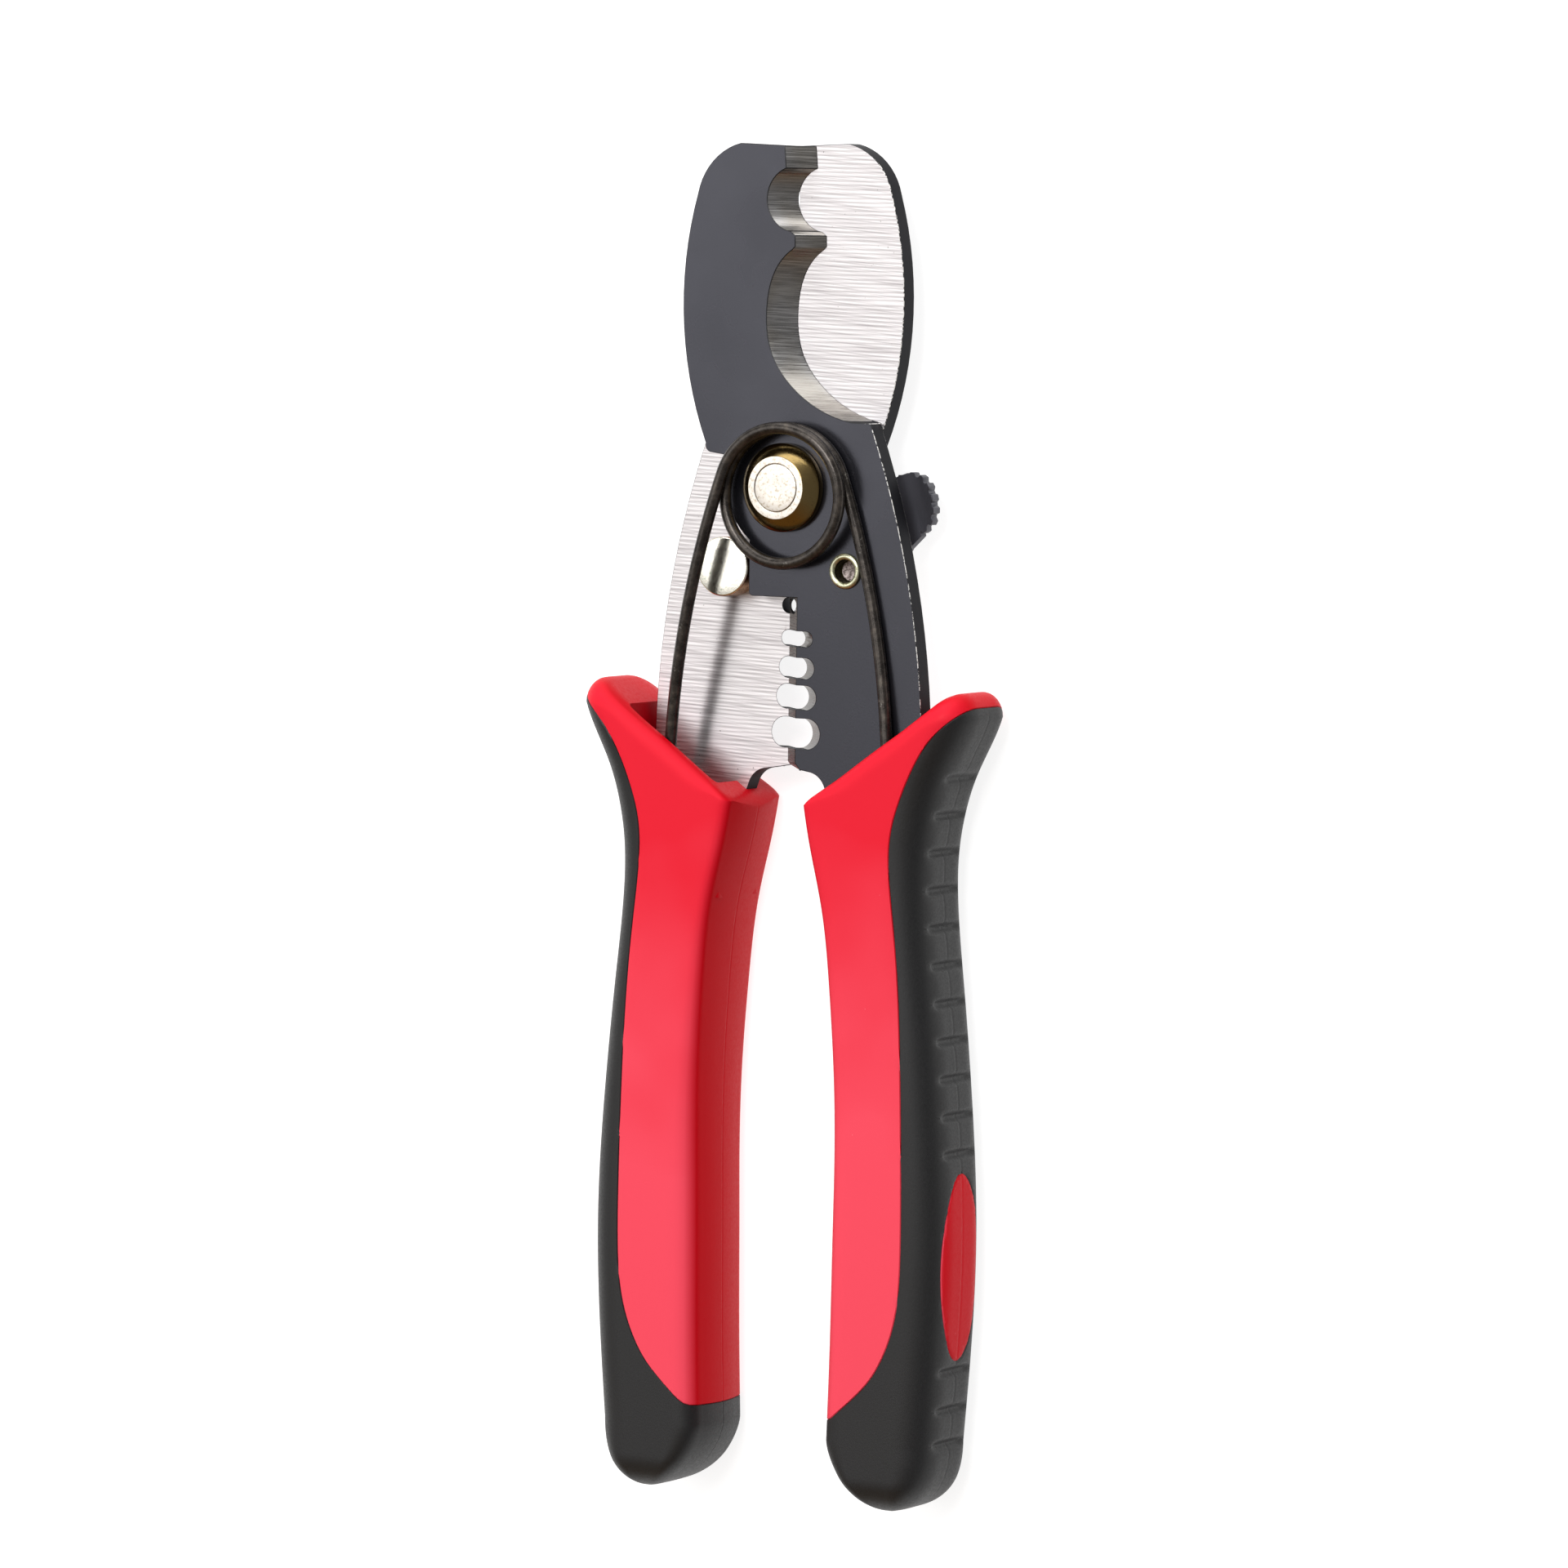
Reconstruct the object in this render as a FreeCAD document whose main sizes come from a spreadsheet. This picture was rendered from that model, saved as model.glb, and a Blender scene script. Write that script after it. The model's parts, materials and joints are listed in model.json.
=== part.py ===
import FreeCAD, Part
import math
import os
from FreeCAD import Placement, Rotation, Vector

# A hand wire stripper and cable cutter. Two flat forged blades, one the other turned over,
# cross on a pivot bolt. A torsion spring pushes them open and a lock lever holds them shut.
# Each blade ends in a tang inside a hard handle core with a soft grip moulded over it.
#
# Every piece is drawn about the pivot: X across, Y up the tool, Z = 0 where the blades meet.
# HOME moves the tool onto its back, so that Z = 0 is the surface it lies on.

os.makedirs("parts", exist_ok=True)
doc = FreeCAD.newDocument("wire_stripper")

# ---------------------------------------------------------------- driving sizes, millimetres
SIZES = {
    "tool_top": 50.35,             # from the pivot to the top of the jaws
    "tool_bottom": 149.65,         # from the pivot to the ends of the handles
    "blade_thick": 3.0,
    "blade_gap": 0.04,             # running gap between the two blades
    "jaw_half_width": 17.9,
    "jaw_slant": 3.7,              # how far the shear edge leans back through the blade
    "strip_slant": 3.0,            # the same for the stripping edge, 45 degrees
    "edge_overlap": 0.7,           # each stripping edge passes the centre line by this
    "boss_radius": 9.9,
    "stop_edge": 6.0,              # where the blade's step meets the stop pin
    "side_hole_x": 10.45,          # hole for the stop pin or the lever rivet
    "side_hole_y": 11.95,
    "side_hole_radius": 2.1,
    "bolt_radius": 3.5,
    "bolt_clearance": 0.05,
    "nut_radius": 6.53,
    "nut_face_radius": 4.7,
    "nut_rim": 1.2,
    "nut_height": 2.85,
    "bolt_head_radius": 6.3,
    "bolt_head_height": 2.4,
    "washer_radius": 7.5,
    "washer_thick": 1.0,
    "pin_radius": 4.4,
    "pin_height": 3.4,
    "pin_tail_radius": 2.4,
    "pin_tail": 2.3,
    "wire": 1.8,
    "coil_radius": 9.95,
    "lever_thick": 1.6,
    "lever_gap": 0.15,
    "lever_swing": 10.0,           # degrees from released to locked
    "spacer_radius": 3.6,
    "rivet_ring_radius": 2.65,
    "rivet_hollow_radius": 1.65,
    "rivet_hollow_depth": 3.2,
    "rivet_head_radius": 4.2,
    "rivet_head_height": 1.2,
    "friction_washer": 0.5,
    "handle_half": 8.2,            # half the thickness of a handle
    "outer_round": 5.5,
    "inner_round": 1.75,
    "draft": 0.55,                 # how far the inner side leans in at the front and back
    "grip_thick": 2.0,
    "mouth_half": 6.0,             # half height of the hollow mouth of a handle
    "oval_half_length": 13.8,
    "oval_half_width": 5.2,
    "oval_drop": 113.2,            # from the pivot down to the middle of the oval
}

sheet = doc.addObject("Spreadsheet::Sheet", "sizes")
for row, (alias, value) in enumerate(SIZES.items(), start=1):
    sheet.set(f"A{row}", alias)
    sheet.set(f"B{row}", str(value))
    sheet.setAlias(f"B{row}", alias)
doc.recompute()


def size(alias):
    return float(sheet.get(alias))


THICK = size("blade_thick")
FACE = size("blade_gap") / 2                    # the inner face of the front blade
HALF = size("handle_half")
HOLE = (size("side_hole_x"), -size("side_hole_y"))
PIVOT_Y = (size("tool_bottom") - size("tool_top")) / 2
HOME = Placement(Vector(0, PIVOT_Y, HALF), Rotation())
TURNED = HOME.multiply(Placement(Vector(), Rotation(Vector(0, 1, 0), 180)))

subparts = {}


def keep(node, piece, place=HOME):
    """Name a finished sub-part and put it in its place on the tool."""
    piece.Label = node
    if place:
        piece.Placement = place
    subparts[node] = piece
    return piece


# ---------------------------------------------------------------- sketch helpers
def flat(point, depth=0.0):
    return Vector(point[0], point[1], depth)


def draw(sketch, start, steps):
    """Draw a closed outline. A step is (x, y) for a line, (middle, end) for an arc through
    two points, or a list of points for a smooth curve."""
    here = start
    for step in list(steps) + [start]:
        if isinstance(step, list):
            curve = Part.BSplineCurve()
            curve.interpolate([flat(point) for point in [here] + step])
            sketch.addGeometry(curve)
            here = step[-1]
        elif isinstance(step[0], tuple):
            sketch.addGeometry(Part.Arc(flat(here), flat(step[0]), flat(step[1])))
            here = step[1]
        elif math.dist(here, step) > 1e-6:
            sketch.addGeometry(Part.LineSegment(flat(here), flat(step)))
            here = step


def sketch_in(body, name, role="XY_Plane", offset=0.0):
    """A sketch on one of the body's own origin planes, moved along that plane's normal."""
    sketch = body.newObject("Sketcher::SketchObject", name)
    plane = next(item for item in body.Origin.OriginFeatures if item.Role == role)
    sketch.AttachmentSupport = [(plane, "")]
    sketch.MapMode = "FlatFace"
    sketch.AttachmentOffset = Placement(Vector(0, 0, offset), Rotation())
    return sketch


def pad(body, sketch, length, midplane=False):
    feature = body.newObject("PartDesign::Pad", sketch.Name + "_pad")
    feature.Profile = sketch
    feature.Midplane = midplane
    feature.setExpression("Length", length)
    sketch.Visibility = False
    return feature


def pocket(body, sketch, length, lean=None, midplane=False):
    """Cut upwards from the sketch. lean is a slanted direction for the cut."""
    feature = body.newObject("PartDesign::Pocket", sketch.Name + "_cut")
    feature.Profile = sketch
    feature.Midplane = midplane
    feature.Reversed = not midplane
    if lean:
        feature.UseCustomVector = True
        feature.Direction = lean
        feature.AlongSketchNormal = True
        feature.Reversed = False
    feature.setExpression("Length", length)
    sketch.Visibility = False
    return feature


def turned_piece(name, profile):
    """A body made by turning a profile of (radius, height) points about its own Z axis."""
    body = doc.addObject("PartDesign::Body", name)
    sketch = sketch_in(body, name + "_profile", "XZ_Plane")
    draw(sketch, profile[0], profile[1:])
    axis = next(item for item in body.Origin.OriginFeatures if item.Role == "Z_Axis")
    turn = body.newObject("PartDesign::Revolution", name + "_turn")
    turn.Profile = sketch
    turn.ReferenceAxis = (axis, [""])
    turn.Angle = 360
    sketch.Visibility = False
    return body


def at_side_hole(side):
    """The place of a piece that sits in the side hole of the front (1) or rear (-1) blade."""
    return HOME.multiply(Placement(Vector(side * HOLE[0], HOLE[1], 0), Rotation()))


# ---------------------------------------------------------------- the two blades
def notch(centre, radius, end):
    """One stripping notch, open to the left, as outline steps going down the edge."""
    return [
        (end - radius, centre + radius),
        ((end, centre), (end - radius, centre - radius)),
        (-size("edge_overlap"), centre - radius),
    ]


NOTCHES = [(-22.2, 1.15, 2.0), (-26.5, 1.55, 2.35), (-30.8, 1.8, 2.75), (-36.1, 2.25, 3.48)]
STEP_Y = -16.1                                  # the step above the stripping edge


def make_blade(name):
    """One blade: plate, slanted shear edge, slanted stripping edge, pivot and side holes."""
    body = doc.addObject("PartDesign::Body", name)
    top = size("tool_top")
    wide = size("jaw_half_width")
    boss = size("boss_radius")
    stop = size("stop_edge")

    plate = sketch_in(body, name + "_plate", offset=FACE)
    draw(plate, (0.0, top - 0.35), [
        (-8.4, top),
        ((-12.75, top - 2.3), (-15.6, 43.0)),                  # outer top corner
        ((-wide, 27.0), (-13.75, 6.2)),                        # long outer curve of the jaw
        ((-13.5, 5.2), (-12.7, 4.85)),
        (-math.sqrt(boss ** 2 - 4.35 ** 2), 4.35),             # shoulder
        ((-boss, 0.0), (-stop, -math.sqrt(boss ** 2 - stop ** 2))),
        (-stop, -15.4),                                        # edge that meets the stop pin
        ((-stop + 0.2, -15.9), (-5.3, STEP_Y)),
        (-3.0, STEP_Y),
        (-3.0, -40.2),
        (0.4, -41.0),
        (4.8, -41.7),
        ((6.5, -42.6), (7.3, -43.9)),                          # finger relief
        (9.6, -50.0),
        (13.2, -60.0),
        (16.4, -102.0),
        ((19.7, -106.6), (23.0, -102.0)),                      # end of the tang
        (22.0, -62.0),
        (23.4, -44.0),
        (23.6, -36.5),
        ((21.0, -13.4), (14.3, 9.6)),                          # outer edge of the arm
        (12.4, 16.0),
        (8.0, 22.0),
        (8.0, top - 0.35),
    ])
    pad(body, plate, "sizes.blade_thick - sizes.blade_gap / 2")

    shear = sketch_in(body, name + "_shear", offset=FACE)
    draw(shear, (2.6, 62.0), [
        (2.75, 50.5),
        (3.1, 46.7),
        ((-0.07, 42.2), (3.96, 37.46)),                        # small cutting crescent
        (4.75, 36.9),
        (4.8, 35.3),
        (4.35, 34.85),                                         # blunt tooth
        [(1.55, 31.9), (0.1, 26.2), (1.1, 19.4), (4.89, 14.42), (9.9, 11.2), (14.9, 9.7)],
        (60.0, 9.7),
        (60.0, 62.0),
    ])
    pocket(body, shear, "sizes.blade_thick + 1", Vector(-size("jaw_slant"), 0, THICK))

    strip = sketch_in(body, name + "_strip", offset=FACE)
    edge = -size("edge_overlap")
    steps = [(edge, STEP_Y)]
    for centre, radius, end in NOTCHES:
        steps += [(edge, centre + radius)] + notch(centre, radius, end)
    steps += [(edge, -40.4), (0.1, -41.4), (-3.0, -48.0), (-30.0, -48.0)]
    draw(strip, (-30.0, STEP_Y), steps)
    pocket(body, strip, "sizes.blade_thick + 1", Vector(size("strip_slant"), 0, THICK))

    holes = sketch_in(body, name + "_holes", offset=FACE)
    for centre, radius in (
        ((0.0, 0.0), size("bolt_radius") + size("bolt_clearance")),
        (HOLE, size("side_hole_radius")),
        ((0.79, -17.4), 1.15),                                 # small wire hole
    ):
        holes.addGeometry(Part.Circle(flat(centre), Vector(0, 0, 1), radius))
    pocket(body, holes, "sizes.blade_thick + 1")
    return body


front_blade = keep("front_blade", make_blade("front_blade_body"))
rear_blade = keep("rear_blade", make_blade("rear_blade_body"), TURNED)

# ---------------------------------------------------------------- pivot hardware
bolt_r = size("bolt_radius")
nut_z = THICK + 0.03                            # the nut leaves the front blade free to turn
nut_top = nut_z + size("nut_height")
washer_low = -THICK - size("washer_thick")
head_low = washer_low - size("bolt_head_height")
head_r = size("bolt_head_radius")
keep("pivot_bolt", turned_piece("pivot_bolt_body", [
    (0.0, head_low),
    (head_r - 1.0, head_low),
    ((head_r - 0.3, head_low + 0.3), (head_r, head_low + 1.0)),
    (head_r, washer_low),
    (bolt_r, washer_low),
    (bolt_r, nut_top - 0.25),
    (bolt_r - 0.25, nut_top),
    (0.0, nut_top),
]))
nut_r = size("nut_radius")
keep("pivot_nut", turned_piece("pivot_nut_body", [
    (bolt_r, nut_z),
    (nut_r, nut_z),
    (nut_r, nut_z + size("nut_rim")),
    ((nut_r - 0.75, nut_top - 0.6), (size("nut_face_radius"), nut_top)),
    (bolt_r, nut_top),
]))
keep("pivot_washer", turned_piece("pivot_washer_body", [
    (bolt_r + 0.1, washer_low),
    (size("washer_radius"), washer_low),
    (size("washer_radius"), -THICK),
    (bolt_r + 0.1, -THICK),
]))

# ---------------------------------------------------------------- stop pin, on the rear blade
pin_r = size("pin_radius")
tail_r = size("pin_tail_radius")
hole_r = size("side_hole_radius")
tail_low = -THICK - size("pin_tail")
keep("stop_pin", turned_piece("stop_pin_body", [
    (0.0, tail_low),
    (tail_r - 0.5, tail_low),
    (tail_r, tail_low + 0.5),
    (tail_r, -THICK),
    (hole_r, -THICK),
    (hole_r, -FACE),
    (pin_r, -FACE),
    (pin_r, size("pin_height") - 0.25),
    (pin_r - 0.25, size("pin_height")),
    (0.0, size("pin_height")),
]), at_side_hole(-1))

# ---------------------------------------------------------------- lock lever and its rivet
lever_top = -THICK - size("lever_gap")
lever_low = lever_top - size("lever_thick")
spacer_low = lever_top + 0.04
washer2_top = lever_low - 0.05
washer2_low = washer2_top - size("friction_washer")
rivet_low = washer2_low - size("rivet_head_height")
ring_r = size("rivet_ring_radius")
hollow_r = size("rivet_hollow_radius")
rivet_head_r = size("rivet_head_radius")
hollow_floor = THICK + 0.6 - size("rivet_hollow_depth")
keep("lever_rivet", turned_piece("lever_rivet_body", [
    (0.0, rivet_low),
    ((rivet_head_r - 1.2, rivet_low + 0.35), (rivet_head_r, washer2_low)),
    (hole_r, washer2_low),
    (hole_r, THICK),
    (ring_r, THICK),
    ((ring_r - 0.35, THICK + 0.55), (hollow_r, THICK + 0.35)),     # rolled ring
    (hollow_r, hollow_floor),
    (0.0, hollow_floor - 0.4),
]), at_side_hole(1))
keep("lever_spacer", turned_piece("lever_spacer_body", [
    (hole_r + 0.03, spacer_low),
    (size("spacer_radius"), spacer_low),
    (size("spacer_radius"), FACE),
    (hole_r + 0.03, FACE),
]), at_side_hole(1))
keep("lever_washer", turned_piece("lever_washer_body", [
    (hole_r + 0.03, washer2_low),
    (rivet_head_r + 0.5, washer2_low),
    (rivet_head_r + 0.5, washer2_top),
    (hole_r + 0.03, washer2_top),
]), at_side_hole(1))


def released(x, y):
    """A point of the hook, given where it is when locked, swung back to the released place."""
    swing = math.radians(size("lever_swing"))
    dx = x - HOLE[0]
    dy = y - HOLE[1]
    return (HOLE[0] + dx * math.cos(swing) - dy * math.sin(swing),
            HOLE[1] + dx * math.sin(swing) + dy * math.cos(swing))


PIN = (-HOLE[0], HOLE[1])
hook_r = tail_r + 0.15                          # the hook clears the pin's tail by this


def around_pin(angle, radius=hook_r):
    return released(PIN[0] + radius * math.cos(math.radians(angle)),
                    PIN[1] + radius * math.sin(math.radians(angle)))


lever_plate = doc.addObject("PartDesign::Body", "lever_plate")
lever_outline = sketch_in(lever_plate, "lever_outline", offset=lever_low)
draw(lever_outline, (19.6, -6.7), [
    (17.1, 2.5),                                               # root of the thumb pad
    (14.6, 1.6),
    ((12.3, -3.4), (9.0, -8.0)),
    released(5.0, -9.95),
    released(-3.0, -10.2),
    released(-6.3, -11.9),
    around_pin(-30),
    (around_pin(-100), around_pin(180)),                       # hook under the pin's tail
    released(PIN[0] - hook_r - 0.03, PIN[1] + 0.75),
    released(-14.2, -11.05),
    (released(-15.5, -12.0), released(-15.6, -14.3)),
    (released(-14.4, -16.6), released(-10.8, -17.2)),
    released(-6.6, -15.9),
    released(-3.0, -13.85),
    released(6.0, -14.2),
    ((9.9, -16.4), (14.4, -14.2)),
    ((16.2, -11.0), (17.6, -8.6)),
])
pad(lever_plate, lever_outline, "sizes.lever_thick")
lever_hole = sketch_in(lever_plate, "lever_hole", offset=lever_low)
lever_hole.addGeometry(Part.Circle(flat(HOLE), Vector(0, 0, 1), hole_r + 0.06))
pocket(lever_plate, lever_hole, "sizes.lever_thick")

# The thumb pad is a curled strip of the lever's sheet, cut to a toothed half round.
PAD_CENTRE = (17.75, -2.1)
PAD_RADIUS = 4.7
PAD_TURN = 15.0                                 # degrees its outward direction points up
TEETH = 7
curl_r = 5.0                                    # radius of the curl's upper face
curl_start = 0.7
curl_low_r = curl_r + size("lever_thick")
curl_c = lever_top + curl_r


def curl(radius, degrees):
    angle = math.radians(degrees)
    return (curl_start + radius * math.sin(angle), curl_c - radius * math.cos(angle))


thumb_strip = doc.addObject("PartDesign::Body", "thumb_strip")
strip_profile = sketch_in(thumb_strip, "strip_profile", "XZ_Plane")
draw(strip_profile, (-1.2, lever_top), [
    curl(curl_r, 0),
    (curl(curl_r, 25), curl(curl_r, 50)),
    curl(curl_low_r, 50),
    (curl(curl_low_r, 25), curl(curl_low_r, 0)),
    (-1.2, lever_low),
])
pad(thumb_strip, strip_profile, "14", midplane=True)
thumb_strip.Placement = Placement(Vector(PAD_CENTRE[0], PAD_CENTRE[1], 0),
                                  Rotation(Vector(0, 0, 1), PAD_TURN))

thumb_shape = doc.addObject("PartDesign::Body", "thumb_shape")
thumb_outline = sketch_in(thumb_shape, "thumb_outline", offset=lever_low - 1)
rim = []
for tooth in range(TEETH):
    for part_of_tooth, radius in ((0.12, PAD_RADIUS - 0.55), (0.3, PAD_RADIUS),
                                  (0.7, PAD_RADIUS), (0.88, PAD_RADIUS - 0.55)):
        angle = math.radians(-86 + 172 * (tooth + part_of_tooth) / TEETH)
        rim.append((radius * math.cos(angle), radius * math.sin(angle)))
draw(thumb_outline, (-1.1, -PAD_RADIUS), rim + [(-1.1, PAD_RADIUS)])
pad(thumb_shape, thumb_outline, "sizes.lever_thick + 8")
thumb_shape.Placement = thumb_strip.Placement

thumb_pad = doc.addObject("Part::Common", "thumb_pad")
thumb_pad.Base = thumb_strip
thumb_pad.Tool = thumb_shape
lock_lever = doc.addObject("Part::Fuse", "lock_lever_body")
lock_lever.Base = lever_plate
lock_lever.Tool = thumb_pad
keep("lock_lever", lock_lever)

# ---------------------------------------------------------------- torsion spring
# The wire comes up out of the right handle, makes most of one and a half turns round the
# nut and goes down into the left handle, one wire thickness nearer the front.
WIRE = size("wire")
COIL_CENTRE = (0.75, -1.15)
coil_r = size("coil_radius")
LEAVE = 19.0                                    # degrees above level where each leg leaves
coil_low = THICK + WIRE / 2 + 0.25
rise_per_turn = WIRE * 1.05
sweep = 360 + 180 - 2 * LEAVE


def coil_point(turned):
    """A point of the coil after so many degrees from the right leg."""
    angle = math.radians(LEAVE + turned)
    return Vector(COIL_CENTRE[0] + coil_r * math.cos(angle),
                  COIL_CENTRE[1] + coil_r * math.sin(angle),
                  coil_low + rise_per_turn * turned / 360)


def leg(top, way, foot):
    """The bowed leg from the coil to its foot: one arc that leaves the coil along way."""
    chord = foot - top
    half = chord.getAngle(way) / 2
    toward = Vector(chord).normalize() + Vector(way).normalize()
    middle = top + toward.normalize() * (chord.Length / 2 / math.cos(half))
    return middle


lean = math.radians(LEAVE)
right_top = coil_point(0)
left_top = coil_point(sweep)
right_foot = Vector(18.8, -42.0, 4.5)
left_foot = Vector(-18.6, -42.0, 4.1)
right_way = Vector(math.sin(lean), -math.cos(lean), -rise_per_turn / (2 * math.pi * coil_r))
left_way = Vector(-math.sin(lean), -math.cos(lean), rise_per_turn / (2 * math.pi * coil_r))
ARCS = 8
spring_path = [Part.Arc(right_foot, leg(right_top, right_way, right_foot), right_top).toShape()]
for number in range(ARCS):
    spring_path.append(Part.Arc(coil_point(sweep * number / ARCS),
                                coil_point(sweep * (number + 0.5) / ARCS),
                                coil_point(sweep * (number + 1) / ARCS)).toShape())
spring_path.append(Part.Arc(left_top, leg(left_top, left_way, left_foot), left_foot).toShape())
spring_wire = Part.Wire(spring_path)
first = spring_path[0]
ring = Part.Wire(Part.Circle(first.valueAt(first.FirstParameter),
                             first.tangentAt(first.FirstParameter), WIRE / 2).toShape())
return_spring = doc.addObject("Part::Feature", "return_spring_body")
return_spring.Shape = spring_wire.makePipeShell([ring], True, False)
keep("return_spring", return_spring)
spring_share = return_spring.Shape.Volume / (math.pi * WIRE ** 2 / 4 * spring_wire.Length)
print(f"spring wire {spring_wire.Length:.1f} mm long, volume is {spring_share:.3f} of it")

# ---------------------------------------------------------------- handles
# (height, inner edge, outer edge) of a handle at stations down its length
STATIONS = [
    (-25.0, 3.0, 33.4), (-32.0, 3.6, 33.1), (-36.5, 4.3, 31.35), (-41.4, 4.9, 29.0),
    (-46.2, 5.6, 27.4), (-52.0, 6.7, 26.3), (-60.7, 8.75, 26.2), (-72.8, 10.2, 27.4),
    (-88.0, 11.0, 28.9), (-109.0, 10.9, 30.05), (-127.0, 10.65, 29.4), (-139.5, 10.3, 28.4),
    (-151.0, 10.2, 27.4),
]


SPARE = 0.1                                     # extra on each face of a loft, cut off again


def section(body, name, station, inset):
    """A handle's cross-section at one station: rounded outside, a fine draft inside. It is a
    little too thick, because trim_ends cuts the front and the back flat."""
    height, inner, outer = station
    inner += inset if height < -135 else 0.0
    outer -= inset
    half = HALF + SPARE - inset
    big = size("outer_round") - inset / 2
    small = size("inner_round")
    lean = inner + size("draft")
    k = math.sqrt(0.5)
    sketch = sketch_in(body, name, "XZ_Plane", -height)
    draw(sketch, (inner, 0.0), [
        (lean, half - small),
        ((lean + small * (1 - k), half - small * (1 - k)), (lean + small, half)),
        (outer - big, half),
        ((outer - big * (1 - k), half - big * (1 - k)), (outer, half - big)),
        (outer, big - half),
        ((outer - big * (1 - k), big * (1 - k) - half), (outer - big, -half)),
        (lean + small, -half),
        ((lean + small * (1 - k), small * (1 - k) - half), (lean, small - half)),
    ])
    sketch.Visibility = False
    return sketch


def handle_loft(name, inset):
    body = doc.addObject("PartDesign::Body", name)
    sections = [section(body, f"{name}_{number}", station, inset)
                for number, station in enumerate(STATIONS)]
    loft = body.newObject("PartDesign::AdditiveLoft", name + "_loft")
    loft.Profile = sections[0]
    loft.Sections = sections[1:]
    return body


def trim_ends(body, name, inset):
    """Cut the mouth's slope, the round end and the flat front and back of a handle."""
    flats = sketch_in(body, name + "_flats", "XZ_Plane", 90.0)
    level = HALF - inset
    for low, high in ((level, level + 5.0), (-level - 5.0, -level)):
        draw(flats, (-10.0, low), [(50.0, low), (50.0, high), (-10.0, high)])
    pocket(body, flats, "300", midplane=True)
    up = sketch_in(body, name + "_lip", offset=0)
    draw(up, (-6.0, -53.6 - inset), [
        (5.6, -45.6 - inset),
        (24.3, -33.2 - inset),
        [(27.3, -30.9 - inset), (30.2, -29.3 - inset), (32.3 - inset, -30.0 - inset),
         (33.2 - inset, -32.6 - inset)],
        (45.0, -36.0),
        (45.0, -10.0),
        (-6.0, -10.0),
    ])
    pocket(body, up, "40", midplane=True)
    bottom = -size("tool_bottom") + inset
    down = sketch_in(body, name + "_end", offset=0)
    draw(down, (0.0, -136.0), [
        (10.3 + inset, -137.0),
        [(11.6 + inset, -143.2), (15.6, -147.7 + inset), (20.8, bottom),
         (25.8 - inset / 2, -147.4 + inset), (28.2 - inset, -142.0)],
        (28.8 - inset, -136.0),
        (45.0, -136.0),
        (45.0, -170.0),
        (0.0, -170.0),
    ])
    pocket(body, down, "40", midplane=True)


def prism(name, start, steps, length):
    body = doc.addObject("PartDesign::Body", name)
    sketch = sketch_in(body, name + "_outline")
    draw(sketch, start, steps)
    pad(body, sketch, length, midplane=True)
    return body


SEAM = [(33.0, -30.9), (29.6, -33.9), (26.2, -37.9), (22.6, -45.6), (21.25, -54.0),
        (22.6, -67.0), (23.7, -84.0), (24.2, -105.0), (23.6, -119.5), (20.7, -127.7),
        (17.3, -132.0), (13.2, -135.6), (9.0, -136.6)]


def boolean(kind, name, base, tool):
    feature = doc.addObject("Part::" + kind, name)
    feature.Base = base
    feature.Tool = tool
    return feature


def make_handle(side, blade, place):
    """The core and the grip of one handle, drawn as the right one. Every tool body is put in
    its place first, because the blade that cuts the slot for its tang is already there."""
    whole = handle_loft(side + "_whole", 0.0)
    trim_ends(whole, side + "_whole", 0.0)
    inside = handle_loft(side + "_inside", size("grip_thick"))
    trim_ends(inside, side + "_inside", size("grip_thick"))
    soft_zone = prism(side + "_soft_zone", (37.0, -30.0), [list(SEAM), (2.0, -136.6),
                      (2.0, -160.0), (48.0, -160.0), (48.0, -30.0)], "30")
    oval_zone = doc.addObject("PartDesign::Body", side + "_oval_zone")
    oval = sketch_in(oval_zone, side + "_oval", "YZ_Plane", 20.0)
    oval.addGeometry(Part.Ellipse(flat((-size("oval_drop"), 0.0)), size("oval_half_length"),
                                  size("oval_half_width")))
    pad(oval_zone, oval, "20")
    mouth = prism(side + "_mouth", (9.4, -20.0), [
        (9.4, -56.0), (12.0, -58.0), (24.8, -48.0), (24.8, -20.0)], "2 * sizes.mouth_half")
    for body in (whole, inside, soft_zone, oval_zone, mouth):
        body.Placement = place
    soft = boolean("Common", side + "_soft", whole, soft_zone)
    skin = boolean("Cut", side + "_skin", soft, inside)
    grip = boolean("Cut", side + "_grip_body", skin, oval_zone)
    hard = boolean("Cut", side + "_hard", whole, grip)
    open_core = boolean("Cut", side + "_open", hard, mouth)
    core = boolean("Cut", side + "_core_body", open_core, blade)
    keep(side + "_handle_core", core, None)
    keep(side + "_handle_grip", grip, None)


make_handle("right", front_blade, HOME)
make_handle("left", rear_blade, TURNED)
doc.recompute()

# ---------------------------------------------------------------- check and write
for item in doc.Objects:
    if "Invalid" in item.State or "Error" in item.State:
        raise RuntimeError(f"{item.Name} failed: {item.State}")
for node, piece in subparts.items():
    shape = piece.Shape
    if shape.isNull() or not shape.isValid() or not shape.Solids:
        raise RuntimeError(f"{node} has no valid solid")
    box = shape.BoundBox
    print(f"{node:20s} {len(shape.Solids)} solid {shape.Volume:9.1f} mm3  "
          f"x {box.XMin:6.2f} {box.XMax:6.2f}  y {box.YMin:7.2f} {box.YMax:7.2f}  "
          f"z {box.ZMin:5.2f} {box.ZMax:5.2f}")
    shape.exportStep(f"parts/{node}.step")
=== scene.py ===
# %% [markdown]
# # A wire stripper in Blender
# The tool is two forged steel blades that cross on a pivot, a torsion spring, a lock lever and
# two moulded handles. The CAD model fixes every size and joint. Here each piece gets the shape
# and the finish that the eye expects of it: bevelled edges, grained plastic, ground steel.

# %% Load the frame
import json
import math

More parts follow.
